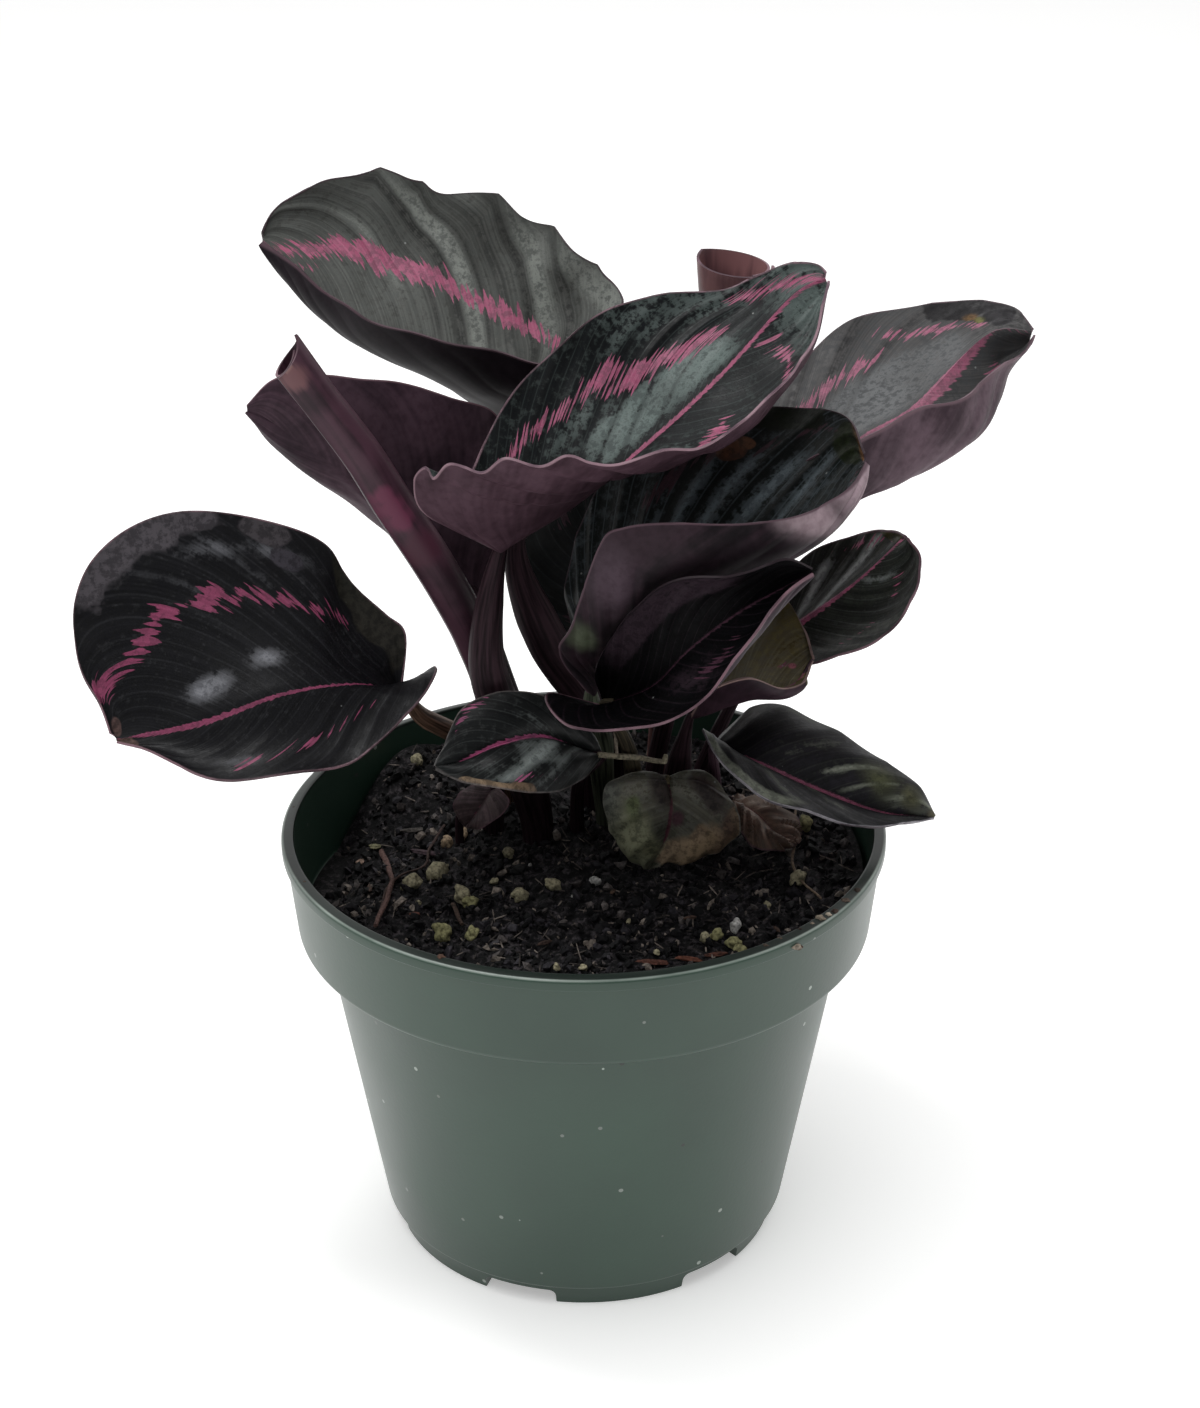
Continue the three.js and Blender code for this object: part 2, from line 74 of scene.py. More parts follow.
def newMaterial(name):
    material = bpy.data.materials.new(name)
    material.use_nodes = True
    material.node_tree.nodes.clear()
    return material, material.node_tree


def finishMaterial(tree, shaderInputs):
    shader = addNode(tree, "BsdfPrincipled", None, shaderInputs)
    addNode(tree, "OutputMaterial", None, {"Surface": shader})


def objectFrom(bm, name):
    mesh = bpy.data.meshes.new(name)
    bm.to_mesh(mesh)
    bm.free()
    piece = bpy.data.objects.new(name, mesh)
    bpy.context.scene.collection.objects.link(piece)
    return piece


view = {"place": (0.0043, -0.676, 0.487), "tilt": 63.67, "lens": 74.15, "sensor": 36}
studio = {
    "floorSize": 8,
    "floorTones": ("#f4f4f3", "#fbfbfa"),
    "floorGlow": 0.4,
    "skyBack": "#ffffff",
    "skyAbove": "#8f8f91",
    "skyFront": "#87878a",
    "skyDepth": (0, 0.6),
    "skyHeight": (0.2, 0.9),
    "skyStrength": 0.8,
    "lightsAim": (0, 0, 0.15),
    "topLight": {"place": (-0.2, -0.3, 1.8), "size": 2.2, "power": 26, "mirrored": False},
    "softBox": {"place": (-0.42, 0.1, 1.3), "size": 0.24, "power": 3, "mirrored": True},
}


def makeCamera():
    camera = bpy.data.objects.new("camera", bpy.data.cameras.new("camera"))
    bpy.context.scene.collection.objects.link(camera)
    camera.location = view["place"]
    camera.rotation_euler = (math.radians(view["tilt"]), 0, 0)
    camera.data.lens = view["lens"]
    camera.data.sensor_width = view["sensor"]
    bpy.context.scene.camera = camera


# matte white paper, rolled out flat and lit by itself a little
def paperMaterial():
    material, tree = newMaterial("mattePaper")
    place = addNode(tree, "TexCoord").outputs["Object"]
    cloud = addNode(tree, "TexNoise", None, {"Vector": place, "Scale": 1.5, "Detail": 2})
    dull, bright = (linearColor(tone) for tone in studio["floorTones"])
    color = addNode(tree, "Mix", colorMix, {0: cloud, 6: dull, 7: bright})
    finishMaterial(tree, {"Base Color": color, "Roughness": 0.9, "Specular IOR Level": 0.2,
                          "Emission Color": color, "Emission Strength": studio["floorGlow"]})
    return material


def makeFloor():
    bm = bmesh.new()
    bmesh.ops.create_grid(bm, x_segments=1, y_segments=1, size=studio["floorSize"] / 2)
    floor = objectFrom(bm, "studio_floor")
    floor.data.materials.append(paperMaterial())


def makeLight(name, look):
    light = bpy.data.objects.new(name, bpy.data.lights.new(name, "AREA"))
    bpy.context.scene.collection.objects.link(light)
    light.data.shape = "DISK"
    light.data.size = look["size"]
    light.data.energy = look["power"]
    light.location = look["place"]
    light.visible_camera = False
    light.visible_glossy = look["mirrored"]
    aim = Vector(studio["lightsAim"]) - light.location
    light.rotation_euler = aim.to_track_quat("-Z", "Y").to_euler()


# the room: bright paper behind, dimmer above and towards the viewer
def makeSky():
    world = bpy.data.worlds.new("studio")
    world.use_nodes = True
    tree = world.node_tree
    tree.nodes.clear()
    back, above, front = (linearColor(studio[key]) for key in ("skyBack", "skyAbove", "skyFront"))
    ray = addNode(tree, "TexCoord").outputs["Generated"]
    parts = addNode(tree, "SeparateXYZ", None, {0: ray}).outputs
    near, far = studio["skyDepth"]
    depth = addNode(tree, "MapRange", eased, {0: parts[1], 1: near, 2: far})
    low, high = studio["skyHeight"]
    height = addNode(tree, "MapRange", eased, {0: parts[2], 1: low, 2: high})
    dim = addNode(tree, "Mix", colorMix, {0: height, 6: front, 7: above})
    color = addNode(tree, "Mix", colorMix, {0: depth, 6: dim, 7: back})
    sky = addNode(tree, "Background", None, {0: color, 1: studio["skyStrength"]})
    addNode(tree, "OutputWorld", None, {0: sky})
    bpy.context.scene.world = world


makeCamera()
makeFloor()
makeSky()
for lightName in ("topLight", "softBox"):
    makeLight(lightName, studio[lightName])
bpy.context.scene.view_settings.view_transform = "Standard"
print("camera, floor and light are set")


# lengths in mm, shares from 0 to 1
leafMake = {
    "endInset": 0.012,  # how far the first and last row stand off the ends
    "endEasing": 0.4,  # how much closer the rows lie at the ends
    "cellSize": 0.85,
    "thickness": 0.6,
    "groove": 0.45,  # depth of the channel over the midrib
    "grooveWidth": 1.3,
    "edgeFrill": 0.3,
    "frillRate": 0.14,  # frills for each mm of edge
    "rimWidth": 0.15,
    "rimFade": 0.4,
    "leftSeed": 20,  # moves the left half's patterns, and tells materials which half they are on
    "stalkOverlap": 0.07,
    "stalkEndRadius": 0.8,
    "stalkSides": 20,
    "stalkSteps": 60,
}

# A leaf is looked at from its base to its tip, upper side up. All lengths are in mm.
# rib, left, right, stalk: its lines. bulge: the sink of each half.
# wave: the height of the left and right edge's waves, and their count.
# lean: how far a side vein moves towards the tip on its way to the edge. pleats: height, count, start.
# ribWidth: (share of the length, half width).
# bands: (half, [(share of the length, share of the half, half width)]), pink.
# sheen: (half, start on the rib, width, strength, from, to), painted sheen in strips along the veins, where
# the pleats reflect the bright sky; below zero, painted shade.
# zones: (half, along from, to, across from, to, strength), zones of painted sheen and painted gloss
# highlights; below zero, painted shade.
# stains: (half, along, across, radius, colour). scorch: (half, from, to, depth, colour), at the edge.
# scallops: (half, height, count). haze: painted glare, a grey sheen laid over it all, taken away below zero.
# rim: the margin's two tones, and rimShare how much of it shows on the left and right half.
# grainShare, veinShare: how strong the mottling and the pale side veins are.
leaves = {
    "leaf_back_left": {
        "rib": [(-6, 48, 208), (-26, 52, 214), (-49, 60, 229), (-69, 68, 241), (-87, 76, 254)],
        "left": [(2, 40, 230), (-12, 34, 234), (-29, 30, 240), (-42, 32, 242), (-54, 38, 244),
            (-64, 48, 246), (-75, 62, 250), (-81, 70, 252)],
        "right": [(10, 66, 240), (2, 74, 248), (-10, 80, 257), (-28, 86, 264), (-42, 88, 265),
            (-52, 90, 269), (-67, 88, 268), (-77, 84, 264), (-84, 80, 260)],
        "bulge": (7, 5), "wave": (0.5, 1.5, 6),
        "stalk": [(2, 30, 92), (2, 30, 110), (2, 26, 138), (-10, 24, 160), (-18, 29, 182),
            (-14, 40, 198), (-6, 48, 208)],
        "stalkRadii": (3, 3.6, 5, 6, 5.4, 2.6, 1.6), "lean": 0.5, "pleats": (0.35, 8.5, 0.1),
        "leftPleats": 0.1, "ribWidth": [(0, 0.5), (0.5, 0.5), (0.9, 0.6), (1, 0)],
        "bands": [("right",
                [(0.2, 0.55, 1.4), (0.28, 0.54, 2.2), (0.36, 0.51, 2.8), (0.43, 0.47, 2.4),
                    (0.5, 0.45, 2.2), (0.58, 0.46, 2.8), (0.66, 0.45, 2.8), (0.76, 0.42, 2.4),
                    (0.82, 0.34, 2.4), (0.88, 0.25, 1.8), (0.94, 0.12, 0.8)]),
            ("right", [(0.82, 0.14, 0.6), (0.86, 0.06, 0.6)]),
            ("left", [(0.1, 0.5, 1.5), (0.4, 0.55, 2.4), (0.7, 0.5, 2), (0.92, 0.2, 1)])],
        "sheen": [("right", 0.235, 0.026, 0.9, 0.2, 0.92), ("right", 0.285, 0.014, -0.6, 0.1, 0.95),
            ("right", 0.195, 0.01, -0.4, 0.3, 0.95), ("right", 0.01, 0.025, 0.8, 0.5, 0.98),
            ("right", 0.06, 0.012, -0.6, 0.4, 0.95), ("right", -0.06, 0.012, -0.6, 0.5, 0.95),
            ("right", 0.45, 0.012, 0.4, 0.3, 0.7), ("right", 0.13, 0.016, -0.3, 0.2, 0.9),
            ("right", 0.36, 0.012, -0.3, 0.2, 1)],
        "zones": [("right", 0.2, 0.42, 0.86, 1, 0.5), ("left", 0.3, 0.95, 0.8, 1, 0.6)],
        "scallops": [("right", 2.4, 9)], "pink": ("#9a4a68", "#d08aa2"), "rim": ("#4d3c43", "#35292e"),
        "grainShare": 0.16, "veinShare": 0.1, "upper": ("#444542", "#525350", "#868a84"),
        "under": ("#171217", "#211a1f"), "haze": 0.22,
    },
    "leaf_front_centre": {
        "rib": [(-21, 0, 196), (-4, 0, 207), (14, 4, 221), (34, 12, 238), (52, 20, 256), (62, 25, 260)],
        "left": [(-32, 4, 206), (-28, 10, 214), (-20, 20, 228), (-8, 28, 239), (4, 31, 248),
            (17, 34, 252), (35, 36, 253), (45, 36, 257), (53, 33, 261), (59, 29, 262)],
        "right": [(-39, -11, 211), (-41, -18, 222), (-38, -21, 227), (-36, -23, 225), (-32, -26, 230),
            (-24, -30, 229), (-18, -33, 234), (-10, -35, 233), (-4, -36, 236), (2, -36, 234),
            (9, -35, 233), (20, -33, 236), (28, -30, 236), (38, -24, 239), (45, -17, 244), (52, -8, 248),
            (57, 2, 252), (60, 14, 258)],
        "bulge": (4, 8.5), "wave": (0.4, 0.4, 6),
        "stalk": [(-13, 16, 92), (-13, 16, 110), (-18, 6, 137), (-25, 1, 165), (-21, 0, 196)],
        "stalkRadii": (3.4, 4.8, 5.8, 5.2, 3.6), "lean": 0.6, "pleats": (0.28, 8, 0.4),
        "ribWidth": [(0, 0.9), (0.4, 1), (0.6, 0.7), (0.85, 0.6), (1, 0.2)],
        "bands": [("left", [(0.2, 0.78, 0.5), (0.26, 0.74, 1), (0.31, 0.73, 1.2), (0.335, 0.7, 0)]),
            ("left", [(0.33, 0.65, 0.4), (0.36, 0.66, 1.8), (0.39, 0.68, 1.4), (0.405, 0.67, 0)]),
            ("left", [(0.4, 0.65, 0.8), (0.44, 0.66, 2), (0.49, 0.64, 1.6), (0.505, 0.62, 0.2)]),
            ("left", [(0.46, 0.52, 0.8), (0.5, 0.5, 1.8), (0.55, 0.49, 1.9), (0.59, 0.49, 0.6)]),
            ("left",
                [(0.58, 0.43, 0.4), (0.61, 0.44, 1.5), (0.66, 0.46, 1.8), (0.7, 0.48, 1.4),
                    (0.73, 0.48, 0)]),
            ("left",
                [(0.77, 0.84, 0.3), (0.82, 0.77, 1.2), (0.87, 0.68, 1.4), (0.94, 0.5, 1), (0.97, 0.2, 1)]),
            ("right",
                [(0.74, 0.66, 0.6), (0.775, 0.52, 1.2), (0.8, 0.36, 1.6), (0.795, 0.18, 1.6),
                    (0.76, 0.1, 0.8)]),
            ("right", [(0.58, 0.44, 0.8), (0.6, 0.36, 1.8), (0.625, 0.28, 1)]),
            ("right", [(0.15, 0.6, 1), (0.42, 0.7, 1.4)])],
        "sheen": [("left", -0.2, 0.03, 0.25, 0.4, 0.7), ("left", 0.12, 0.016, -0.6, 0.02, 0.8),
            ("left", 0.22, 0.014, -0.6, 0.02, 0.8), ("left", 0.32, 0.016, -0.6, 0.02, 0.8),
            ("left", 0.43, 0.014, -0.5, 0.02, 0.8), ("right", 0.35, 0.03, 0.3, 0.1, 0.7)],
        "zones": [("left", 0.32, 0.72, 0.08, 0.4, 1), ("left", 0.3, 0.44, 0.44, 0.58, 0.5),
            ("left", 0.52, 0.8, 0.7, 1, 0.4), ("left", 0.84, 1, 0.1, 1, 0.6),
            ("right", 0.45, 1, 0.7, 1, 1), ("right", 0.25, 0.5, 0.7, 1, 0.5),
            ("right", 0.83, 1, 0, 1, 0.7)],
        "grainShare": 0.3, "pink": ("#8d4360", "#cc7f9b"), "rim": ("#8f747d", "#5a4650"),
        "veinShare": 0.12, "upper": ("#06080a", "#121618", "#66736f"), "under": ("#3f2d35", "#57414b"),
        "haze": -0.12,
    },
    "leaf_left_purple": {
        "rib": [(-28, 26, 172), (-40, 17, 187), (-51, 12, 201), (-60, 9, 212), (-71, 8, 222),
            (-80, 8, 229), (-85, 8, 231)],
        "left": [(-22, 28, 190), (-20, 30, 208), (-23, 29, 222), (-34, 19, 230), (-46, 14, 236),
            (-56, 11, 238), (-66, 8, 240), (-77, 8, 239)],
        "right": [(-35, 32, 171), (-48, 30, 189), (-57, 26, 199), (-68, 20, 208), (-78, 13, 219)],
        "bulge": (2, 3), "wave": (0.6, 0.6, 4),
        "stalk": [(-14, 38, 92), (-14, 38, 112), (-21, 34, 142), (-28, 26, 172)],
        "stalkRadii": (2.4, 2.6, 2.6, 1.8), "lean": 0.4, "pleats": (0.2, 5, 0.2),
        "ribWidth": [(0, 1), (1, 0.3)],
        "bands": [("left", [(0.15, 0.5, 1.5), (0.5, 0.55, 2), (0.9, 0.3, 1)]),
            ("right", [(0.15, 0.5, 1.5), (0.5, 0.55, 2), (0.9, 0.3, 1)])],
        "sheen": [("left", 0.3, 0.05, 0.5, 0.1, 0.9)], "upper": ("#16191b", "#2a302e", "#6d7773"),
        "under": ("#2d2129", "#503d47"), "haze": 0.1,
    },
    "leaf_back_right": {
        "rib": [(40, 30, 182), (57, 30, 200), (72, 34, 213), (87, 42, 219), (107, 58, 233),
            (121, 64, 232)],
        "left": [(42, 56, 201), (59, 72, 221), (78, 84, 230), (103, 86, 233), (116, 76, 235)],
        "right": [(55, 8, 215), (67, 8, 222), (84, 14, 228), (96, 24, 228), (109, 42, 230),
            (117, 54, 230)],
        "bulge": (4, 15), "wave": (0.6, 0.6, 4),
        "stalk": [(19, 35, 92), (19, 35, 112), (27, 35, 150), (40, 30, 182)],
        "stalkRadii": (2.4, 2.6, 2.6, 1.6), "lean": 0.5, "pleats": (0.25, 8, 0.3),
        "ribWidth": [(0, 0.2), (0.5, 0.9), (0.68, 1.3), (0.84, 0.7), (0.88, 0)],
        "bands": [("left",
                [(0.17, 0.9, 1.2), (0.25, 0.8, 1.8), (0.33, 0.69, 2.2), (0.4, 0.7, 1.2), (0.45, 0.7, 2),
                    (0.52, 0.68, 2), (0.57, 0.65, 1.6), (0.6, 0.69, 0.4)]),
            ("left", [(0.625, 0.78, 1), (0.65, 0.8, 0.4)]),
            ("left",
                [(0.65, 0.75, 0.8), (0.7, 0.73, 1.4), (0.75, 0.7, 1), (0.79, 0.68, 0.8), (0.83, 0.6, 0)]),
            ("left", [(0.87, 0.2, 0.6), (0.9, 0.1, 1.2), (0.93, 0, 0.8)]),
            ("right", [(0.2, 0.5, 2), (0.5, 0.5, 2), (0.85, 0.4, 1.5)])],
        "sheen": [("left", 0.1, 0.02, -0.5, 0.2, 0.95), ("left", 0.25, 0.02, -0.3, 0.2, 0.95),
            ("left", -0.05, 0.02, -0.3, 0.2, 0.95)],
        "zones": [("left", 0.3, 0.78, 0.05, 0.6, 0.45), ("left", 0.4, 0.6, 0.1, 0.55, 0.25),
            ("left", 0.8, 1, 0.3, 1, -0.4)],
        "stains": [("left", 0.78, 0.97, 12, "#201e20"), ("left", 0.88, 0.8, 9, "#252326"),
            ("left", 0.8, 0.76, 2.6, "#7d5a2a"), ("left", 0.82, 0.7, 2, "#6f6d3c")],
        "pink": ("#8f4d66", "#c98ba0"), "rim": ("#6d5860", "#4b3a42"), "grainShare": 0.25,
        "veinShare": 0.1, "upper": ("#434242", "#4e4c4c", "#686a6b"), "under": ("#3b2e35", "#66545d"),
        "haze": 0.16,
    },
    "leaf_centre_right": {
        "rib": [(2, -6, 158), (7, -11, 174), (14, -17, 185), (27, -21, 194), (44, -21, 199),
            (58, -18, 210), (70, -8, 224)],
        "left": [(-4, 12, 173), (-5, 14, 179), (-3, 18, 187), (2, 22, 200), (9, 24, 212), (19, 25, 220),
            (32, 26, 225), (43, 26, 225), (55, 22, 226), (66, 8, 229)],
        "right": [(-6, -24, 179), (-2, -32, 191), (4, -38, 214), (10, -40, 219), (26, -40, 220),
            (50, -34, 219), (61, -24, 220), (67, -16, 222)],
        "bulge": (3, 7), "wave": (0.6, 0.6, 4),
        "stalk": [(6, 20, 92), (6, 20, 108), (5, 16, 122), (4, 8, 138), (2, -6, 158)],
        "stalkRadii": (2.4, 2.8, 3.2, 3.8, 3), "lean": 0.45, "pleats": (0.28, 9, 0.6),
        "ribWidth": [(0, 0.6), (0.5, 0.5), (0.62, 0.3), (1, 0)],
        "bands": [("left", [(0.45, 0.66, 1), (0.5, 0.7, 2), (0.56, 0.74, 2), (0.62, 0.76, 0.6)]),
            ("left",
                [(0.66, 0.73, 0.4), (0.7, 0.74, 0.7), (0.75, 0.8, 0.6), (0.82, 0.86, 0.4),
                    (0.88, 0.8, 0.3)]), ("right", [(0.2, 0.5, 1.5), (0.6, 0.55, 1.5), (0.85, 0.4, 1)])],
        "sheen": [("left", 0.28, 0.014, 0.7, 0.1, 0.7), ("left", 0.36, 0.014, 0.8, 0.1, 0.7),
            ("left", 0.32, 0.012, -0.5, 0.1, 0.8), ("left", 0.46, 0.016, 0.8, 0.1, 0.65),
            ("left", 0.2, 0.014, 0.6, 0.1, 0.6), ("left", 0.57, 0.012, 0.6, 0.1, 0.6),
            ("left", 0.41, 0.012, -0.5, 0.1, 0.8), ("left", 0.52, 0.012, -0.5, 0.1, 0.8),
            ("left", 0.24, 0.012, -0.5, 0.1, 0.8)],
        "zones": [("left", 0.5, 0.85, 0.3, 0.68, 0.2)], "veinShare": 0.3,
        "stains": [("left", 0.63, 0.74, 4, "#5a3a2a"), ("left", 0.66, 0.78, 2.5, "#6b4a35"),
            ("left", 0.97, 0.95, 4, "#6b4a2e"), ("left", 0.93, 1, 3, "#5d4430"),
            ("left", 0.9, 0.7, 9, "#1d2413"), ("left", 0.75, 1, 11, "#12180e"),
            ("right", 0.97, 0.6, 19, "#a08d94"), ("right", 0.27, 0.85, 5, "#4c5242"),
            ("right", 0.42, 0.8, 10, "#4a3c45"), ("right", 0.56, 0.6, 9, "#2a2026"),
            ("right", 0.66, 0.66, 8, "#281f25"), ("right", 0.74, 0.62, 7, "#281f25"),
            ("right", 0.8, 0.88, 9, "#97858b"), ("right", 0.46, 0.4, 9, "#1a1317"),
            ("right", 0.34, 0.4, 13, "#120d10")],
        "pink": ("#3a252d", "#5b434c"), "stainUnder": True, "cloudRange": (0.62, 0.86),
        "rim": ("#57444c", "#3a2c32"), "rimShare": (0.6, 0.9), "grainShare": 0.25,
        "upper": ("#0c1110", "#161c1a", "#6c777c"), "under": ("#151014", "#33262d"), "haze": 0,
    },
    "leaf_front_black": {
        "rib": [(5, -22, 163), (17, -34, 174), (26, -40, 187), (38, -42, 198), (56, -38, 207)],
        "left": [(4, -29, 179), (18, -42, 204), (38, -46, 210), (48, -43, 212)],
        "right": [(-9, -32, 171), (-2, -48, 170), (16, -58, 175), (29, -60, 184), (40, -56, 197),
            (48, -47, 205)],
        "bulge": (2, 4), "wave": (0.6, 0.6, 3),
        "stalk": [(14, 13, 92), (14, 13, 110), (13, 7, 130), (10, -8, 148), (5, -22, 163)],
        "stalkRadii": (2.2, 2.4, 2.4, 2, 1.6), "lean": 0.45, "pleats": (0.16, 6, 0.1),
        "ribWidth": [(0, 0.2), (0.3, 0.3), (0.8, 0.3), (1, 0)],
        "bands": [("right", [(0.55, 0.35, 0.2), (0.6, 0.34, 0.6), (0.68, 0.32, 0.5)])],
        "sheen": [("right", 0.35, 0.06, 0.3, 0.1, 0.6)], "pink": ("#3a2430", "#5a3a48"), "gloss": 0.08,
        "roughness": 0.5,
        "zones": [("left", 0.2, 0.75, 0.55, 1, 0.8), ("right", 0.45, 0.6, 0.15, 0.4, 0.3)],
        "rim": ("#735861", "#4b373f"), "rimShare": (0, 1), "upper": ("#040405", "#0a090c", "#382c34"),
        "under": ("#241a21", "#3d2f39"), "haze": -0.15,
    },
    "leaf_small_olive": {
        "rib": [(28, 4, 147), (41, 0, 154), (54, 2, 157), (60, 8, 162)],
        "left": [(31, 24, 160), (43, 30, 168), (53, 28, 170), (58, 20, 165)],
        "right": [(33, -12, 163), (41, -16, 168), (50, -8, 161), (57, 2, 158)],
        "bulge": (3, 3), "wave": (0.4, 0.4, 2),
        "stalk": [(25, 18, 92), (25, 18, 110), (25.5, 13, 128), (28, 4, 147)],
        "stalkRadii": (3.4, 4.2, 4.6, 3.4, 1.8), "lean": 0.4, "pleats": (0.12, 4, 0.1),
        "ribWidth": [(0, 0.3), (1, 0.2)],
        "bands": [("left", [(0.66, 0.3, 0), (0.72, 0.3, 0.8), (0.8, 0.32, 0.8), (0.84, 0.3, 0)])],
        "sheen": [("left", 0.5, 0.1, 0.2, 0.1, 0.9)],
        "stains": [("left", 0.5, 0.9, 9, "#2c2a1c"), ("left", 0.74, 0.3, 1.6, "#a8606c"),
            ("right", 0.74, 0.2, 1.2, "#a8606c")],
        "stainEdge": (0.85, 1.25), "rim": ("#8c7470", "#5b4742"),
        "upper": ("#4c4426", "#7a6e47", "#9c9272"), "under": ("#251920", "#3f2c36"), "haze": 0.1,
    },
    "leaf_small_right": {
        "rib": [(51, 30, 157), (65, 26, 170), (75, 24, 180), (84, 21, 191)],
        "left": [(52, 40, 167), (61, 44, 176), (71, 42, 182), (80, 32, 188)],
        "right": [(57, 14, 158), (66, 6, 163), (77, 2, 171), (85, 5, 180), (87, 12, 188)],
        "bulge": (4, 4), "wave": (0.4, 0.4, 3),
        "stalk": [(30, 27, 92), (30, 27, 112), (40, 29, 138), (51, 30, 157)],
        "stalkRadii": (2.2, 2.2, 2, 1.4), "lean": 0.5, "pleats": (0.22, 6, 0.3),
        "ribWidth": [(0, 1.3), (0.3, 1.1), (0.7, 0.6), (0.95, 0.3), (1, 0)],
        "bands": [("left",
                [(0.47, 0.88, -0.8), (0.58, 0.86, -0.4), (0.66, 0.86, 0), (0.76, 0.83, -0.2),
                    (0.84, 0.78, -0.6)]),
            ("right", [(0.4, 0.62, -0.6), (0.46, 0.6, 0.6), (0.52, 0.58, 0.2)]),
            ("right", [(0.69, 0.46, 0.2), (0.74, 0.42, 0)])],
        "sheen": [("left", 0.05, 0.05, 1, 0.05, 0.8), ("left", 0.3, 0.045, 1.2, 0.02, 0.9),
            ("left", 0.18, 0.03, -0.6, 0.05, 0.9), ("left", 0.45, 0.04, -0.5, 0.05, 0.9),
            ("left", 0.62, 0.03, 0.6, 0.05, 0.6), ("right", 0.62, 0.03, 0.6, 0.02, 0.3)],
        "stains": [("left", 0.94, 0.5, 5, "#5c5a34"), ("left", 0.85, 0.95, 4, "#4c4b2c")],
        "pink": ("#b05a7a", "#e796b4"), "grainShare": 0.12, "veinShare": 0.08,
        "upper": ("#232622", "#474b44", "#bcc4c0"), "under": ("#4a3a42", "#6b5660"), "haze": -0.1,
    },
    "leaf_low_right": {
        "rib": [(34, 2, 139), (46, -6, 138), (62, -10, 132), (77, -12, 127), (92, -12, 125)],
        "left": [(38, 10, 140), (46, 14, 145), (57, 12, 144), (73, 4, 138), (87, -4, 131)],
        "right": [(31, -2, 146), (36, -12, 141), (44, -20, 137), (58, -24, 133), (74, -22, 128),
            (85, -16, 126)],
        "bulge": (-3, -1), "wave": (0.4, 0.4, 4),
        "stalk": [(36, 16, 92), (36, 16, 110), (35, 9, 126), (34, 2, 139)],
        "stalkRadii": (2, 2, 1.8, 1.4), "lean": 0.4, "pleats": (0.16, 6, 0.2),
        "ribWidth": [(0, 0.3), (0.1, 0.7), (0.6, 0.7), (0.8, 0.3), (1, 0)],
        "bands": [],
        "sheen": [("right", 0.2, 0.03, 0.5, 0.1, 0.8), ("left", 0.42, 0.02, 0.9, 0.2, 0.75),
            ("left", 0.55, 0.016, 1, 0.1, 0.6), ("left", 0.68, 0.03, 0.5, 0.2, 0.8),
            ("left", 0.24, 0.03, 0.3, 0.2, 0.8), ("right", 0.42, 0.03, 0.4, 0.1, 0.6)],
        "zones": [("right", 0.08, 0.5, 0.78, 1, 0.9), ("left", 0.8, 1, 0.1, 0.8, 0.3),
            ("left", 0.15, 0.5, 0.85, 1, 0.3)],
        "stains": [("left", 0.72, 0.5, 10, "#4a4d34"), ("left", 0.86, 0.5, 6, "#4a4a33"),
            ("left", 0.98, 0.5, 3, "#5e5a4a")],
        "stainEdge": (0.9, 1.7), "rim": ("#a09ca2", "#4b4349"), "rimShare": (0.35, 1),
        "pink": ("#7d4459", "#b46a86"), "grainShare": 0.12, "veinShare": 0.05,
        "upper": ("#121115", "#201e24", "#8a8f80"), "under": ("#4a3542", "#6b5060"), "haze": -0.15,
    },
    "leaf_low_centre": {
        "rib": [(5, -4, 139), (-10, -10, 148), (-21, -16, 149), (-31, -20, 146), (-38, -22, 145)],
        "left": [(0, -14, 138), (-8, -22, 138), (-18, -28, 142), (-30, -26, 143)],
        "right": [(2, -3, 146), (-9, -4, 156), (-21, -6, 159), (-31, -10, 156), (-36, -17, 148)],
        "bulge": (-3, -2), "wave": (0.4, 0.4, 3),
        "stalk": [(-2, 18, 92), (-2, 18, 108), (-1, 8, 126), (5, -4, 139)],
        "stalkRadii": (2, 2, 1.8, 1.4), "lean": 0.4, "pleats": (0.16, 5, 0.2),
        "ribWidth": [(0, -0.6), (0.2, -0.2), (0.35, 0.5), (0.6, 0.8), (0.8, 0.6), (0.93, -0.3),
            (1, -0.6)],
        "bands": [("right", [(0.62, 0.9, -0.4), (0.72, 0.86, 0), (0.8, 0.78, -0.4)]),
            ("left", [(0.34, 0.72, -0.8), (0.45, 0.76, -0.2), (0.58, 0.82, -0.4)])],
        "zones": [("left", 0.34, 0.56, 0.05, 0.55, 0.4), ("left", 0.5, 0.8, 0.45, 0.85, 0.1)],
        "scorch": [("left", 0.62, 0.84, 1.3, "#84705a"), ("left", 0.52, 0.6, 2, "#6d5a48")],
        "rim": ("#6d6664", "#4a4240"),
        "sheen": [("left", 0.3, 0.05, 0.6, 0.1, 0.9), ("left", 0.12, 0.04, 0.4, 0.1, 0.9),
            ("right", 0.3, 0.04, 0.3, 0.1, 0.5)],
        "pink": ("#a04c72", "#d67fab"), "grainShare": 0.12, "veinShare": 0.06,
        "upper": ("#0b0d0e", "#181b1b", "#8e9693"), "under": ("#4a3542", "#6b5060"), "haze": -0.1,
    },
    "leaf_hanging": {
        "rib": [(22, 3, 129), (23, -5, 124), (21, -6, 114), (17, -3, 105)],
        "left": [(29, 3, 131), (36, 0, 130), (41, -3, 121), (40, -5, 114), (31, -5, 109), (22, -4, 108)],
        "right": [(15, 2, 131), (7, -2, 131), (5, -4, 125), (8, -5, 115), (13, -4, 108)],
        "bulge": (-2, -2), "wave": (0.4, 0.4, 3),
        "stalk": [(15, 25, 92), (15, 25, 109), (17, 16, 120), (22, 3, 129)],
        "stalkRadii": (2.4, 2.6, 2.4, 1.6), "lean": 0.4, "pleats": (0.6, 4, 0.5),
        "ribWidth": [(0, 0.6), (0.5, 0.6), (0.8, 0), (1, 0)],
        "bands": [],
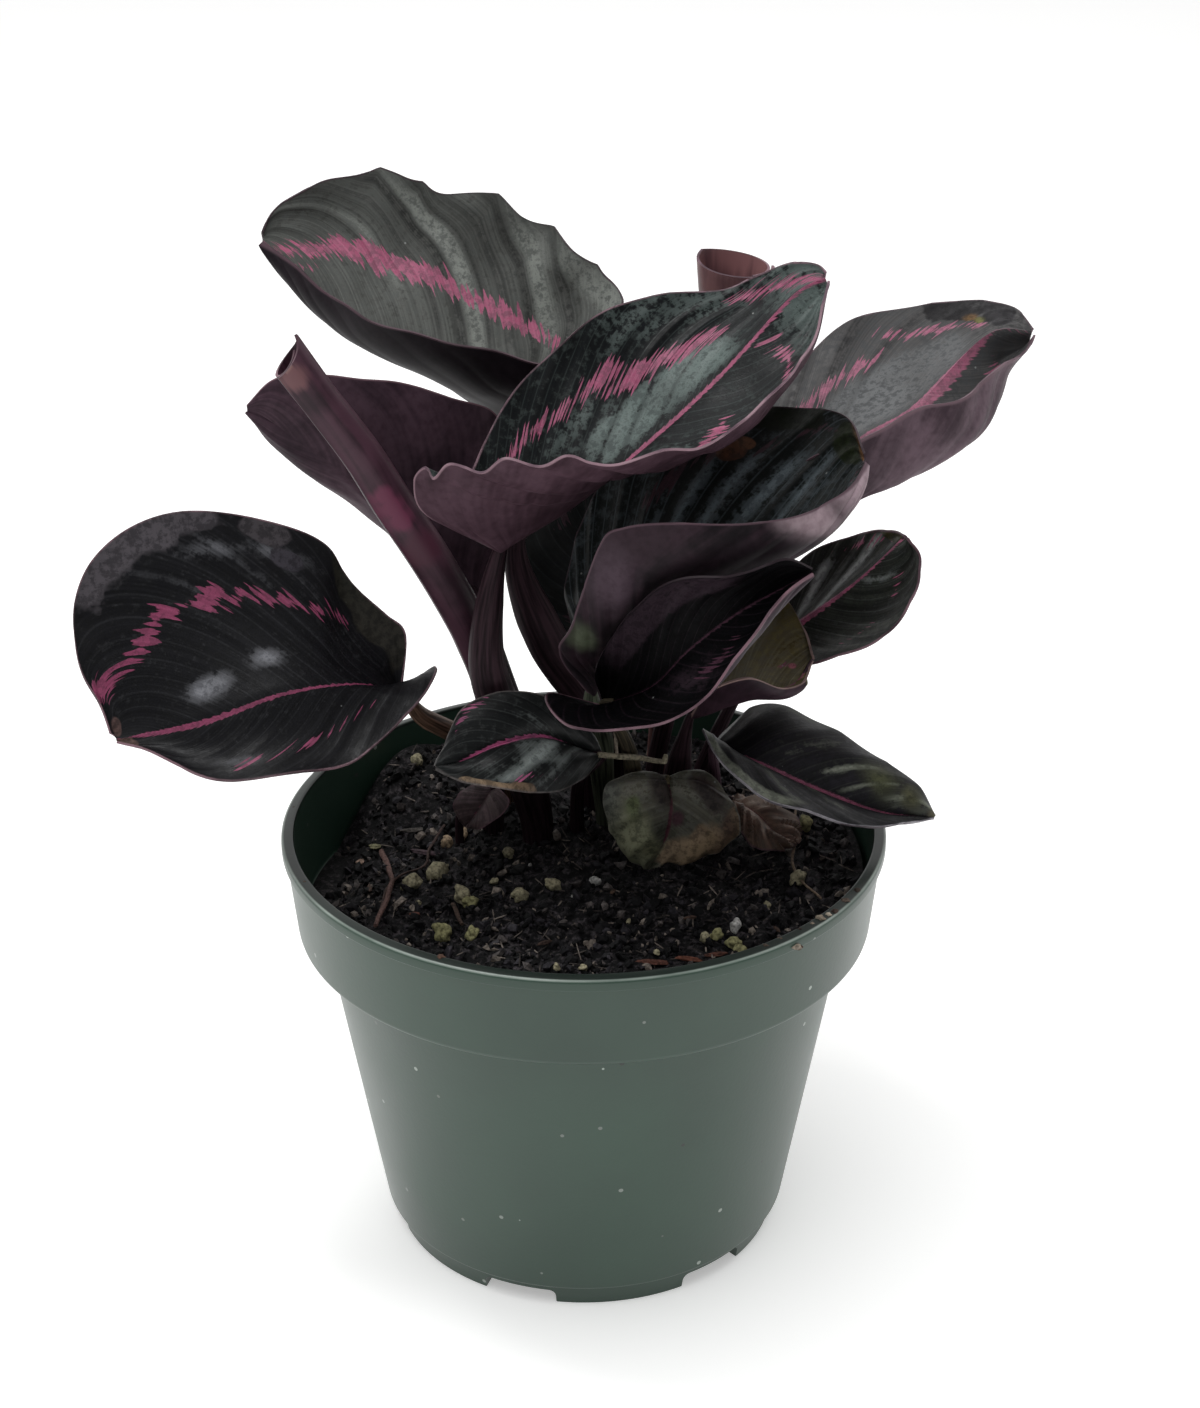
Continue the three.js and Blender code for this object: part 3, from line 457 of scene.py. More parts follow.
        "sheen": [("right", 0.1, 0.1, 0.4, 0.1, 0.8), ("left", 0.12, 0.05, 0.5, 0.1, 0.8),
            ("left", 0.3, 0.03, 0.5, 0.2, 0.9)],
        "stains": [("right", 0.62, 0.5, 11, "#a5a788"), ("right", 0.75, 0.9, 8, "#98997f"),
            ("right", 0.5, 0.95, 7, "#7d8077"), ("right", 0.2, 0.2, 7, "#4a4340"),
            ("right", 0.42, 0.55, 3.5, "#5c6a3e"), ("right", 0.7, 0.25, 4, "#6a6a50"),
            ("left", 0.62, 0.55, 8, "#b29a7c"), ("left", 0.7, 0.2, 7, "#a8937a"),
            ("left", 0.55, 0.9, 6, "#7a6456"), ("left", 0.3, 0.7, 5, "#463d3a"),
            ("left", 0.4, 0.1, 3.4, "#553840"), ("left", 0.5, 0.45, 3, "#a8927a")],
        "scorch": [("left", 0.42, 0.62, 2.4, "#a08a70")], "stainEdge": (0.82, 1.2),
        "rim": ("#9a988c", "#6a665c"), "grainShare": 0.5, "pink": ("#5a333d", "#7b4a55"),
        "scallops": [("left", 1.2, 4)], "upper": ("#45473c", "#6d6b5d", "#a8a698"),
        "under": ("#5b504a", "#7b6d64"), "haze": 0.05,
    },
    "leaf_low_left": {
        "rib": [(-47, -2, 157), (-59, -12, 164), (-76, -20, 165), (-96, -24, 159), (-119, -22, 153)],
        "left": [(-38, -2, 164), (-40, -12, 162), (-45, -18, 158), (-52, -26, 154), (-60, -32, 151),
            (-78, -38, 151), (-88, -38, 150), (-97, -36, 151), (-108, -30, 154)],
        "right": [(-46, 5, 170), (-51, 7, 175), (-58, 9, 181), (-62, 10, 186), (-66, 10, 193),
            (-75, 10, 198), (-90, 10, 202), (-104, 8, 203), (-116, 4, 200), (-125, 0, 193),
            (-129, -5, 184), (-129, -9, 174), (-127, -13, 167), (-122, -18, 160)],
        "bulge": (2, 4), "wave": (0.4, 0.4, 4),
        "stalk": [(-22, 36, 92), (-22, 36, 108), (-26, 33, 119), (-34, 26, 130), (-43, 12, 143),
            (-47, -2, 157)],
        "stalkRadii": (2.2, 2.4, 2.6, 2.8, 2.6, 1.8), "lean": 0.45, "pleats": (0.1, 7, 0.2),
        "ribWidth": [(0, 0.2), (0.2, 0.4), (0.55, 0.7), (0.75, 0.9), (0.9, 0.6), (0.95, 0)],
        "bands": [("right",
                [(0.92, 0.96, 0.3), (0.89, 0.78, 1), (0.85, 0.66, 0.9), (0.82, 0.6, 0.2),
                    (0.77, 0.54, 1.2), (0.72, 0.52, 1.8), (0.68, 0.55, 2.2), (0.65, 0.59, 2),
                    (0.62, 0.57, 1.6), (0.585, 0.57, 0.3), (0.555, 0.55, 1.4), (0.53, 0.6, 1.7),
                    (0.51, 0.56, 0.6), (0.49, 0.53, 1.3), (0.47, 0.59, 1.5), (0.44, 0.57, 1.6),
                    (0.4, 0.55, 1), (0.37, 0.55, 1), (0.345, 0.55, 0.2), (0.3, 0.55, 1), (0.28, 0.57, 0)]),
            ("right", [(0.265, 0.6, 0.3), (0.24, 0.62, 0.6), (0.21, 0.65, 0.1)]),
            ("left",
                [(0.66, 0.77, 0.2), (0.63, 0.72, 0.9), (0.56, 0.68, 0.6), (0.5, 0.62, 0.3),
                    (0.46, 0.6, 1.2), (0.42, 0.58, 0.6), (0.36, 0.55, 0.6), (0.3, 0.52, 0.3),
                    (0.24, 0.5, 0.2)])],
        "sheen": [("right", 0.28, 0.012, 0.25, 0.55, 0.9), ("right", 0.12, 0.012, 0.25, 0.6, 0.95),
            ("right", 0.02, 0.02, 0.2, 0.6, 0.9)],
        "zones": [("right", 0.58, 0.68, 0.11, 0.2, 1.3), ("right", 0.42, 0.49, 0.18, 0.26, 1.1),
            ("left", 0.6, 0.7, 0.6, 0.75, 0.4), ("right", 0.46, 0.56, 0.78, 0.84, 0.5),
            ("right", 0.3, 0.45, 0.8, 0.86, 0.5)],
        "pink": ("#70314b", "#ab5578"),
        "stains": [("right", 0.62, 1, 15, "#4b474b"), ("right", 0.7, 1, 9, "#454145"),
            ("right", 0.52, 0.97, 6, "#474347"), ("right", 0.4, 0.94, 5, "#3f3b3e"),
            ("right", 0.36, 0.8, 4, "#37343a"), ("left", 0.975, 0.5, 7, "#54403a"),
            ("right", 0.96, 0.5, 4, "#4d3b38"), ("right", 0.14, 0.85, 9, "#2b2924"),
            ("right", 0.22, 0.95, 8, "#26251f")],
        "gloss": 0.26, "rim": ("#7a5f67", "#3d2c33"), "veinShare": 0.04, "grainShare": 0.08,
        "upper": ("#0d0d10", "#151518", "#77787d"), "under": ("#1d171c", "#3a2e36"), "haze": -0.1,
    },
    "leaf_back_upright": {
        "rib": [(8, 38, 148), (5, 40, 168), (1, 42, 186), (0, 44, 200)],
        "left": [(-10, 34, 154), (-20, 36, 168), (-15, 42, 186)],
        "right": [(20, 42, 160), (22, 46, 178), (13, 46, 193)],
        "bulge": (3, 3), "wave": (0.4, 0.4, 3),
        "stalk": [(9, 40, 92), (9, 40, 112), (9, 38, 130), (8, 38, 148)],
        "stalkRadii": (2.2, 2.4, 2.4, 1.6), "lean": 0.45, "pleats": (0.16, 5, 0.2),
        "ribWidth": [(0, 0.4), (1, 0)],
        "bands": [("left", [(0.2, 0.5, 1), (0.8, 0.4, 1)])],
        "sheen": [("right", 0.3, 0.05, 0.3, 0.1, 0.9)], "pink": ("#2f1f27", "#4b323c"), "gloss": 0.15,
        "upper": ("#08090a", "#131617", "#34393b"), "under": ("#221a20", "#382b33"), "haze": -0.05,
    },
    "leaf_dry": {
        "rib": [(39, 12, 118), (46, 8, 116), (51, 5, 112), (57, 3, 109)],
        "left": [(44, 18, 115), (52, 16, 114), (58, 12, 111), (58, 8, 109)],
        "right": [(40, 4, 116), (44, 0, 111), (51, -1, 109)],
        "bulge": (-2, -2), "wave": (0.6, 0.6, 3),
        "stalk": [(40, 22, 92), (40, 22, 110), (39, 12, 118)], "stalkRadii": (1.4, 1.4, 1.2), "lean": 0.3,
        "pleats": (0.9, 7, 0.2), "ribWidth": [(0, 0.2), (1, 0)],
        "bands": [],
        "sheen": [("left", 0.2, 0.1, 0.4, 0, 1)], "upper": ("#6a5448", "#a88c7a", "#cbb29c"),
        "under": ("#6a564a", "#9d8674"), "haze": 0.1,
    },
    "sheath_withered": {
        "rib": [(-24, 12, 122), (-27, 11, 118), (-30, 11, 113), (-32, 13, 109)],
        "left": [(-20, 8, 120), (-22, 7, 116), (-28, 8, 111)],
        "right": [(-30, 14, 121), (-34, 14, 118), (-35, 14, 113)],
        "bulge": (-1, -1), "wave": (0.3, 0.3, 2),
        "stalk": [(-34, 20, 92), (-34, 20, 108), (-31, 17, 118), (-24, 12, 122)],
        "stalkRadii": (1.2, 1.2, 1.1, 1.1), "lean": 0.3, "pleats": (0.25, 5, 0.2),
        "ribWidth": [(0, 0), (1, 0)],
        "bands": [],
        "sheen": [("left", 0.2, 0.1, 0.3, 0, 1)], "upper": ("#4a3d3f", "#7b686b", "#9d8a88"),
        "under": ("#3d3335", "#5f4f52"), "haze": 0,
    },
}


def toPoint(values):
    return Vector(values) * mm


# the curve through all the points, with even steps between each pair
def splinePoints(points, divisions=200):
    last = len(points) - 1
    padded = [2 * points[0] - points[1], *points, 2 * points[-1] - points[-2]]
    samples = []
    for k in range(divisions + 1):
        place = last * k / divisions
        i = min(int(place), last - 1)
        w = place - i
        p0, p1, p2, p3 = padded[i:i + 4]
        out, into = (p2 - p0) / 2, (p3 - p1) / 2
        bend = (3 * (p2 - p1) - 2 * out - into) * w ** 2
        samples.append(p1 + out * w + bend + (2 * (p1 - p2) + out + into) * w ** 3)
    return samples


# a smooth line through points, read by its share of length
class Line:
    def __init__(self, values):
        self.samples = splinePoints([toPoint(v) for v in values])
        self.reach = [0]
        for a, b in zip(self.samples, self.samples[1:]):
            self.reach.append(self.reach[-1] + (b - a).length)
        self.length = self.reach[-1]

    def at(self, share):
        goal = min(max(share, 0), 1) * self.length
        low, high = 0, len(self.reach) - 1
        while high - low > 1:
            middle = (low + high) // 2
            if self.reach[middle] <= goal:
                low = middle
            else:
                high = middle
        span = self.reach[high] - self.reach[low]
        return self.samples[low].lerp(self.samples[high], (goal - self.reach[low]) / span)

    def heading(self, share, step=0.004):
        return (self.at(share + step) - self.at(share - step)).normalized()


# the value at a place, from pairs of place and value
def between(pairs, place):
    if place <= pairs[0][0]:
        return pairs[0][1]
    for (a, low), (b, high) in zip(pairs, pairs[1:]):
        if place <= b:
            return low + (high - low) * (place - a) / (b - a)
    return pairs[-1][1]


# the value at a share of the way along evenly spread values
def alongValues(values, share):
    place = min(max(share, 0), 1) * (len(values) - 1)
    i = min(int(place), len(values) - 2)
    return values[i] + (values[i + 1] - values[i]) * (place - i)


def smooth(low, high, value):
    share = min(max((value - low) / (high - low), 0), 1)
    return share * share * (3 - 2 * share)


# 1 from low to high; it rises lowFade to each side of low, and falls highFade to each side of high
def within(value, low, high, lowFade, highFade):
    return smooth(low - lowFade, low + lowFade, value) * (1 - smooth(high - highFade, high + highFade, value))


def wander(place, seed):
    return noise.noise(Vector((place, seed * 7.3, 0.5)))


# rows lie closer together at both ends of a blade
def stationAt(share):
    inset, easing = leafMake["endInset"], leafMake["endEasing"]
    even = 0.5 - 0.5 * math.cos(math.pi * share)
    return inset + (1 - 2 * inset) * ((1 - easing) * share + easing * even)


# what a row of the blade needs: its place on the rib and the reach of both halves
def bladeRow(leaf, lines, s):
    middle, along = lines["rib"].at(s), lines["rib"].heading(s)
    row = {"s": s, "middle": middle, "fullness": math.sin(math.pi * s)}
    for half, turn in (("left", 1), ("right", -1)):
        across = lines[half].at(s) - middle
        row[half] = across
        row[half + "Up"] = along.cross(across).normalized() * turn
    row["ripple"] = row["fullness"] * math.sin(2 * math.pi * leaf["wave"][2] * s)
    return row


# a is the share of the way from the rib to the edge
def bladePoint(leaf, row, half, a):
    k = ("left", "right").index(half)
    sink = leaf["bulge"][k] * mm * 4 * a * (1 - a) * math.sqrt(max(row["fullness"], 0))
    rise = row["ripple"] * leaf["wave"][k] * mm
    return row["middle"] + row[half] * a + row[half + "Up"] * (rise * a ** 3 - sink)


# signed distance in mm to the nearest band, positive inside it and -9 far from all
def bandDepth(leaf, half, s, a, reach, ribLength):
    best = -9
    here = Vector((s * ribLength, a * reach))
    for side, line in leaf["bands"]:
        if side != half or min(abs(s - p[0]) for p in line) > 0.12:  # too far along to matter
            continue
        for (s0, a0, low), (s1, a1, high) in zip(line, line[1:]):
            start, end = Vector((s0 * ribLength, a0 * reach)), Vector((s1 * ribLength, a1 * reach))
            along = end - start
            share = min(max((here - start).dot(along) / along.length_squared, 0), 1)
            best = max(best, low + (high - low) * share - (here - start - along * share).length)
    return best


# painted sheen where the pleats reflect the sky, in strips along the veins and in zones with painted gloss
# highlights; below zero it marks strips of painted shade, kept free of sheen
def sheenAt(leaf, half, q, s, a):
    total = 0
    for side, start, width, strength, low, high in leaf["sheen"]:
        if side == half:
            near = math.exp(-((q - start) / width) ** 2)
            total += strength * near * within(a, low, high, 0.08, 0.1)
    for side, start, end, low, high, strength in leaf.get("zones", []):
        if side == half:
            total += strength * within(s, start, end, 0.05, 0.05) * within(a, low, high, 0.05, 0.05)
    return min(total, 1)


# the colour of the stains around, its alpha falling from 1 in the middle of one to 0 at its edge
def stainAt(leaf, half, s, a, reach, ribLength):
    shares = []
    for side, along, across, radius, tone in leaf.get("stains", []):
        if side == half:
            away = math.hypot((s - along) * ribLength, (a - across) * reach)
            shares.append((max(1 - away / radius, 0), tone))
    for side, start, end, depth, tone in leaf.get("scorch", []):
        if side == half:
            near = smooth(start - 0.06, start + 0.03, s) * (1 - smooth(end - 0.03, end + 0.06, s))
            shares.append((max(near * (1.3 - (1 - a) * reach / depth), 0), tone))
    whole = sum(share ** 2 for share, tone in shares)
    if whole == 0:
        return (0, 0, 0, 0)
    mean = [sum(share ** 2 * linearColor(tone)[k] for share, tone in shares) / whole for k in range(3)]
    return (*mean, max(share for share, tone in shares))


# the rise of the folds between the side veins
def pleatAt(leaf, half, q, a, s, seed):
    height, count, start = leaf["pleats"]
    height = leaf.get("leftPleats", height) if half == "left" else height
    phase = (q + start) * count + 0.5 * wander(q * 6, seed)
    ridge = 1 - 2 * abs(math.sin(math.pi * phase)) ** 0.8
    return height * mm * ridge * smooth(0.02, 0.5, a) * smooth(0, 0.12, s) * (1 - smooth(0.9, 1, s))


# how far the scalloped edge is drawn out or in at a place
def scallopAt(leaf, half, s, a, fullness, seed):
    total = 0
    for side, height, count in leaf.get("scallops", []):
        if side == half:
            crest = 0.35 - abs(math.sin(math.pi * (count * s + 0.6 * wander(s * 7, seed + 5))))
            total += height * mm * crest * smooth(0.6, 1, a) * fullness
    return total


def makeBlade(name, leaf, seed):
    lines = {"rib": Line(leaf["rib"])}
    for half in ("left", "right"):
        lines[half] = Line([leaf["rib"][0], *leaf[half], leaf["rib"][-1]])
    cell = leafMake["cellSize"] * mm
    rows = int(max(line.length for line in lines.values()) / cell)
    width = max((lines[half].at(0.5) - lines["rib"].at(0.5)).length for half in ("left", "right"))
    columns = 2 * max(int(width / cell), 8)
    table = [bladeRow(leaf, lines, stationAt(i / rows)) for i in range(rows + 1)]
    bm = bmesh.new()
    veinLayer = bm.verts.layers.float_vector.new("veinPlace")
    markLayer = bm.verts.layers.float_vector.new("marks")
    sheenLayer = bm.verts.layers.float.new("sheen")
    stainLayer = bm.verts.layers.float_color.new("stain")
    bm.loops.layers.uv.new("UVMap")
    bmesh.ops.create_grid(bm, x_segments=rows, y_segments=columns, size=0.5, calc_uvs=True)
    ribLength = lines["rib"].length / mm
    lifts = {}
    for v in bm.verts:
        share, t = v.co.x + 0.5, v.co.y * 2
        row = table[round(share * rows)]
        s = row["s"]
        half, a = ("left", t) if t > 0 else ("right", -t)
        v.co = bladePoint(leaf, row, half, a)
        reach = row[half].length / mm
        q = s - leaf["lean"] * a  # where this place's side vein leaves the rib
        ribDepth = between(leaf["ribWidth"], s) - a * reach
        edgeDepth = min((1 - a) * reach, (1 - s) * ribLength * 2)
        v[veinLayer] = (q * ribLength, a * reach, seed + (leafMake["leftSeed"] if half == "left" else 0))
        v[markLayer] = (bandDepth(leaf, half, s, a, reach, ribLength), ribDepth, edgeDepth)
        # the painted sheen and painted shade at this point
        v[sheenLayer] = sheenAt(leaf, half, q, s, a)
        v[stainLayer] = stainAt(leaf, half, s, a, reach, ribLength)
        v.co += row[half].normalized() * scallopAt(leaf, half, s, a, row["fullness"], seed)
        frill = wander(s * ribLength * leafMake["frillRate"], seed + 3) * smooth(0.8, 1, a)
        nearRib = math.exp(-(a * reach / leafMake["grooveWidth"]) ** 2)
        groove = leafMake["groove"] * mm * nearRib * row["fullness"]
        lifts[v] = pleatAt(leaf, half, q, a, s, seed) + frill * leafMake["edgeFrill"] * mm - groove
    bm.normal_update()
    normals = {v: v.normal.copy() for v in bm.verts}
    for v, lift in lifts.items():
        v.co += normals[v] * lift
    blade = objectFrom(bm, name)
    thicken(blade, leafMake["thickness"], under=1, rim=2)
    return blade, lines


# under and rim are the places of their materials after the upper one
def thicken(blade, thickness, under, rim):
    shell = blade.modifiers.new("thickness", "SOLIDIFY")
    shell.thickness = thickness * mm
    shell.offset = 0
    shell.material_offset = under
    shell.material_offset_rim = rim


# a place on the wall round a path, at a turn and a radius in metres
def aroundPath(path, share, turn, radius):
    heading = path.heading(share)
    right = Vector((0, 1, 0)).cross(heading).normalized()
    away = heading.cross(right)
    return path.at(share) + right * (math.cos(turn) * radius) + away * (math.sin(turn) * radius)


# a tube along a line, closed at both ends
def makeTube(name, points, radii, sides, steps):
    path = Line(points)
    bm = bmesh.new()
    placeLayer = bm.verts.layers.float_vector.new("veinPlace")
    bmesh.ops.create_grid(bm, x_segments=steps, y_segments=sides, size=0.5)
    for v in bm.verts:
        share, turn = v.co.x + 0.5, (v.co.y + 0.5) * 2 * math.pi
        v[placeLayer] = (math.cos(turn) * 4, share * path.length / mm, math.sin(turn) * 4)
        v.co = aroundPath(path, share, turn, alongValues(radii, share) * mm)
    bmesh.ops.remove_doubles(bm, verts=bm.verts, dist=1e-6)
    bmesh.ops.holes_fill(bm, edges=[e for e in bm.edges if e.is_boundary])
    bmesh.ops.recalc_face_normals(bm, faces=bm.faces)
    return objectFrom(bm, name)


# makes the modifiers real and gathers the pieces in one
def joinPieces(pieces, name):
    for other in bpy.context.selected_objects:
        other.select_set(False)
    for piece in pieces:
        piece.select_set(True)
    bpy.context.view_layer.objects.active = pieces[0]
    bpy.ops.object.convert(target="MESH")
    if len(pieces) > 1:
        bpy.ops.object.join()
    whole = bpy.context.view_layer.objects.active
    whole.name = name
    whole.data.shade_smooth()
    whole.data.set_sharp_from_angle(angle=math.radians(50))
    return whole


def standFor(piece, node):
    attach(piece, "root")
    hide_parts(node)


# patterns of three numbers lie along the side veins, in cells for each mm across and along them,
# and those of one number are in cells for each metre
leafSkin = {
    "veinLines": (1.4, 0.03, 1),  # fine lines 0.7 mm apart
    "streaks": (0.25, 0.03, 1),  # 4 mm apart
    "brush": (0.8, 0.09, 1),  # the bands' teeth, 1.2 mm apart
    "underStreaks": (0.3, 0.03, 1),
    "paleVeins": 0.063,  # one every 5 mm: 2 pi / (20 x 5)
    "mottle": 480,  # 2 mm across
    "patches": 60,  # 17 mm across
    "dust": 230,  # specks 0.3 mm across, one at most in 4 mm
    "clouds": 45,  # the underside's, 22 mm across
    "flecks": 500,  # the underside's, 2 mm across
    "pink": ("#7d3a52", "#c07a92"),
    "margin": ("#7b5f68", "#45323a"),
    "hiddenMargin": "#241b20",
    "veinShade": "#8a8f8c",
    "mottleShade": "#707074",
    "dustTone": "#8d908e",
    "underShade": "#a3969b",
    "roughness": 0.36,
    "roughnessSpread": 0.14,
    "underRoughness": 0.55,
    "gloss": 0.3,
    "underGloss": 0.12,
}


# the maps every blade material reads: vein places and the distances inside band, rib and edge, in mm
def bladeMaps(tree):
    veins = addNode(tree, "Attribute", {"attribute_name": "veinPlace"}).outputs["Vector"]
    marks = addNode(tree, "Attribute", {"attribute_name": "marks"}).outputs["Vector"]
    depths = addNode(tree, "SeparateXYZ", None, {0: marks}).outputs
    stain = addNode(tree, "Attribute", {"attribute_name": "stain"}).outputs
    return veins, depths, stain


# low on the right half of a blade and high on the left one
def byHalf(tree, veins, low, high):
    half = addNode(tree, "SeparateXYZ", None, {0: veins}).outputs[2]
    lastRight = leafMake["leftSeed"] - 2  # the right halves' seeds end below this, the left ones' start above
    return addNode(tree, "MapRange", eased, {0: half, 1: lastRight, 2: lastRight + 3, 3: low, 4: high})


# 1 at the edge of the blade and 0 inside it
def edgeShareOf(tree, depths):
    rim = leafMake["rimWidth"]
    return addNode(tree, "MapRange", eased, {0: depths[2], 1: rim, 2: rim + leafMake["rimFade"], 3: 1, 4: 0})


# upper side: waxy dark tissue with brushed pink bands, a pink rib and paler streaks along the side veins,
# under painted sheen and painted shade
def leafUpperMaterial(name, leaf):
    material, tree = newMaterial(name)
    deep, mid, pale = (linearColor(tone) for tone in leaf["upper"])
    pinkDeep, pinkPale = (linearColor(tone) for tone in leaf.get("pink", leafSkin["pink"]))
    veins, depths, stain = bladeMaps(tree)
    sheenMap = addNode(tree, "Attribute", {"attribute_name": "sheen"}).outputs["Fac"]
    place = addNode(tree, "TexCoord").outputs["Object"]
    linePlace = addNode(tree, "Mapping", None, {0: veins, "Scale": leafSkin["veinLines"]})
    veinLines = addNode(tree, "TexNoise", None, {"Vector": linePlace, "Scale": 1, "Detail": 2})
    paleVeins = addNode(tree, "TexWave", {"wave_type": "BANDS", "bands_direction": "X"},
                        {"Vector": veins, "Scale": leafSkin["paleVeins"], "Distortion": 1.5, "Detail": 2,
                         "Detail Scale": 0.8}).outputs["Fac"]
    streakPlace = addNode(tree, "Mapping", None, {0: veins, "Scale": leafSkin["streaks"]})
    streaks = addNode(tree, "TexNoise", None, {"Vector": streakPlace, "Scale": 1, "Detail": 3})
    brushPlace = addNode(tree, "Mapping", None, {0: veins, "Scale": leafSkin["brush"]})
    brush = addNode(tree, "TexNoise", None, {"Vector": brushPlace, "Scale": 1, "Detail": 2})
    mottle = addNode(tree, "TexNoise", None,
                     {"Vector": place, "Scale": leafSkin["mottle"], "Detail": 6, "Roughness": 0.7})
    patches = addNode(tree, "TexNoise", None, {"Vector": place, "Scale": leafSkin["patches"], "Detail": 4})

    # dark tissue with fine vein lines and, here and there, a pale side vein
    streakShare = addNode(tree, "MapRange", eased, {0: streaks, 1: 0.32, 2: 0.68})
    base = addNode(tree, "Mix", colorMix, {0: streakShare, 6: deep, 7: mid})
    lineShare = addNode(tree, "MapRange", eased, {0: veinLines, 1: 0.42, 2: 0.62, 3: 0.35, 4: 0})
    lined = addNode(tree, "Mix", darkening, {0: lineShare, 6: base, 7: linearColor(leafSkin["veinShade"])})
    veinShare = addNode(tree, "MapRange", eased,
                        {0: paleVeins, 1: 0.95, 2: 1, 3: 0, 4: leaf.get("veinShare", 0.22)})
    veined = addNode(tree, "Mix", colorMix, {0: veinShare, 6: lined, 7: pale})

    # the painted sheen, where the pleats reflect the sky, grainy at its edges; painted shade keeps some
    # strips free of it
    veinMottle = addNode(tree, "Math", scaledSum, {0: veinLines, 1: 0.45, 2: mottle})
    grainShare = leaf.get("grainShare", 0.2)
    grain = addNode(tree, "MapRange", eased, {0: mottle, 1: 0.36, 2: 0.62, 3: -grainShare, 4: grainShare})
    # the leaf's painted sheen and its painted glare (haze) together
    sheenPlace = addNode(tree, "Math", {"operation": "ADD"}, {0: sheenMap, 1: leaf["haze"]})
    grainy = addNode(tree, "Math", scaledSum, {0: grain, 1: 1, 2: sheenPlace})
    sheenDepth = addNode(tree, "Math", scaledSum, {0: veinMottle, 1: 0.9, 2: grainy})
    sheenShare = addNode(tree, "MapRange", eased, {0: sheenDepth, 1: 0.6, 2: 1.5})
    patchShare = addNode(tree, "MapRange", eased, {0: patches, 1: 0.3, 2: 0.55, 3: 0.55, 4: 1})
    patched = addNode(tree, "Math", product, {0: sheenShare, 1: patchShare})
    sheened = addNode(tree, "Mix", colorMix, {0: patched, 6: veined, 7: pale})

    # the bands end in brush strokes along the veins and break up here and there
    broken = addNode(tree, "Math", scaledSum, {0: patches, 1: 5, 2: depths[0]})
    bandEdge = addNode(tree, "Math", scaledSum, {0: brush, 1: 12, 2: broken})
    bandShare = addNode(tree, "MapRange", eased, {0: bandEdge, 1: 8.6, 2: 9.1})
    ribEdge = addNode(tree, "Math", scaledSum, {0: brush, 1: 1.6, 2: depths[1]})
    ribShare = addNode(tree, "MapRange", eased, {0: ribEdge, 1: 0.75, 2: 1})
    pinkShare = addNode(tree, "Math", {"operation": "MAXIMUM"}, {0: bandShare, 1: ribShare})
    pinkTone = addNode(tree, "MapRange", eased, {0: veinMottle, 1: 0.5, 2: 1.1})
    pink = addNode(tree, "Mix", colorMix, {0: pinkTone, 6: pinkDeep, 7: pinkPale})
    banded = addNode(tree, "Mix", colorMix, {0: pinkShare, 6: sheened, 7: pink})

    # stains with ragged edges
    ragged = addNode(tree, "Math", scaledSum, {0: mottle, 1: 0.25, 2: stain["Alpha"]})
    stainDepth = addNode(tree, "Math", scaledSum, {0: patches, 1: 1.2, 2: ragged})
    faint, full = leaf.get("stainEdge", (0.98, 1.12))
    stainShare = addNode(tree, "MapRange", eased, {0: stainDepth, 1: faint, 2: full})
    spotted = addNode(tree, "Mix", colorMix, {0: stainShare, 6: banded, 7: stain["Color"]})
    if leaf.get("stainUnder"):  # its right half's stains belong to the underside
        spotted = addNode(tree, "Mix", colorMix, {0: byHalf(tree, veins, 0, 1), 6: banded, 7: spotted})

    # the pale margin, broken up, then the mottling and the dust over it all
    rimBreaks = addNode(tree, "MapRange", eased, {0: patches, 1: 0.35, 2: 0.6, 3: 0.3, 4: 1})
    edgeShare = addNode(tree, "Math", product, {0: edgeShareOf(tree, depths), 1: rimBreaks})
    rimLeft, rimRight = leaf.get("rimShare", (1, 1))
    marginShare = addNode(tree, "Math", product, {0: edgeShare, 1: byHalf(tree, veins, rimRight, rimLeft)})
    margin = linearColor(leaf.get("rim", leafSkin["margin"])[0])
    rimmed = addNode(tree, "Mix", colorMix, {0: marginShare, 6: spotted, 7: margin})
    mottleShare = addNode(tree, "MapRange", eased, {0: mottle, 1: 0.42, 2: 0.6, 3: 0, 4: 0.65})
    grained = addNode(tree, "Mix", darkening,
                      {0: mottleShare, 6: rimmed, 7: linearColor(leafSkin["mottleShade"])})
    dust = addNode(tree, "TexVoronoi", None, {"Vector": place, "Scale": leafSkin["dust"]}).outputs
    dustPick = addNode(tree, "SeparateXYZ", None, {0: dust["Color"]}).outputs[0]
    dustNear = addNode(tree, "MapRange", eased, {0: dust["Distance"], 1: 0.04, 2: 0.09, 3: 0.7, 4: 0})
    dustRare = addNode(tree, "MapRange", eased, {0: dustPick, 1: 0.84, 2: 0.86})
    dustShare = addNode(tree, "Math", product, {0: dustNear, 1: dustRare})
    dusted = addNode(tree, "Mix", colorMix, {0: dustShare, 6: grained, 7: linearColor(leafSkin["dustTone"])})

    waxy = leaf.get("roughness", leafSkin["roughness"])
    roughness = addNode(tree, "MapRange", eased,
                        {0: mottle, 1: 0.35, 2: 0.65, 3: waxy, 4: waxy + leafSkin["roughnessSpread"]})
    bump = addNode(tree, "Bump", None, {"Strength": 0.25, "Distance": 0.4 * mm, "Height": veinMottle})
    finishMaterial(tree, {"Base Color": dusted, "Roughness": roughness, "Normal": bump,
                          "Specular IOR Level": leaf.get("gloss", leafSkin["gloss"])})
    return material


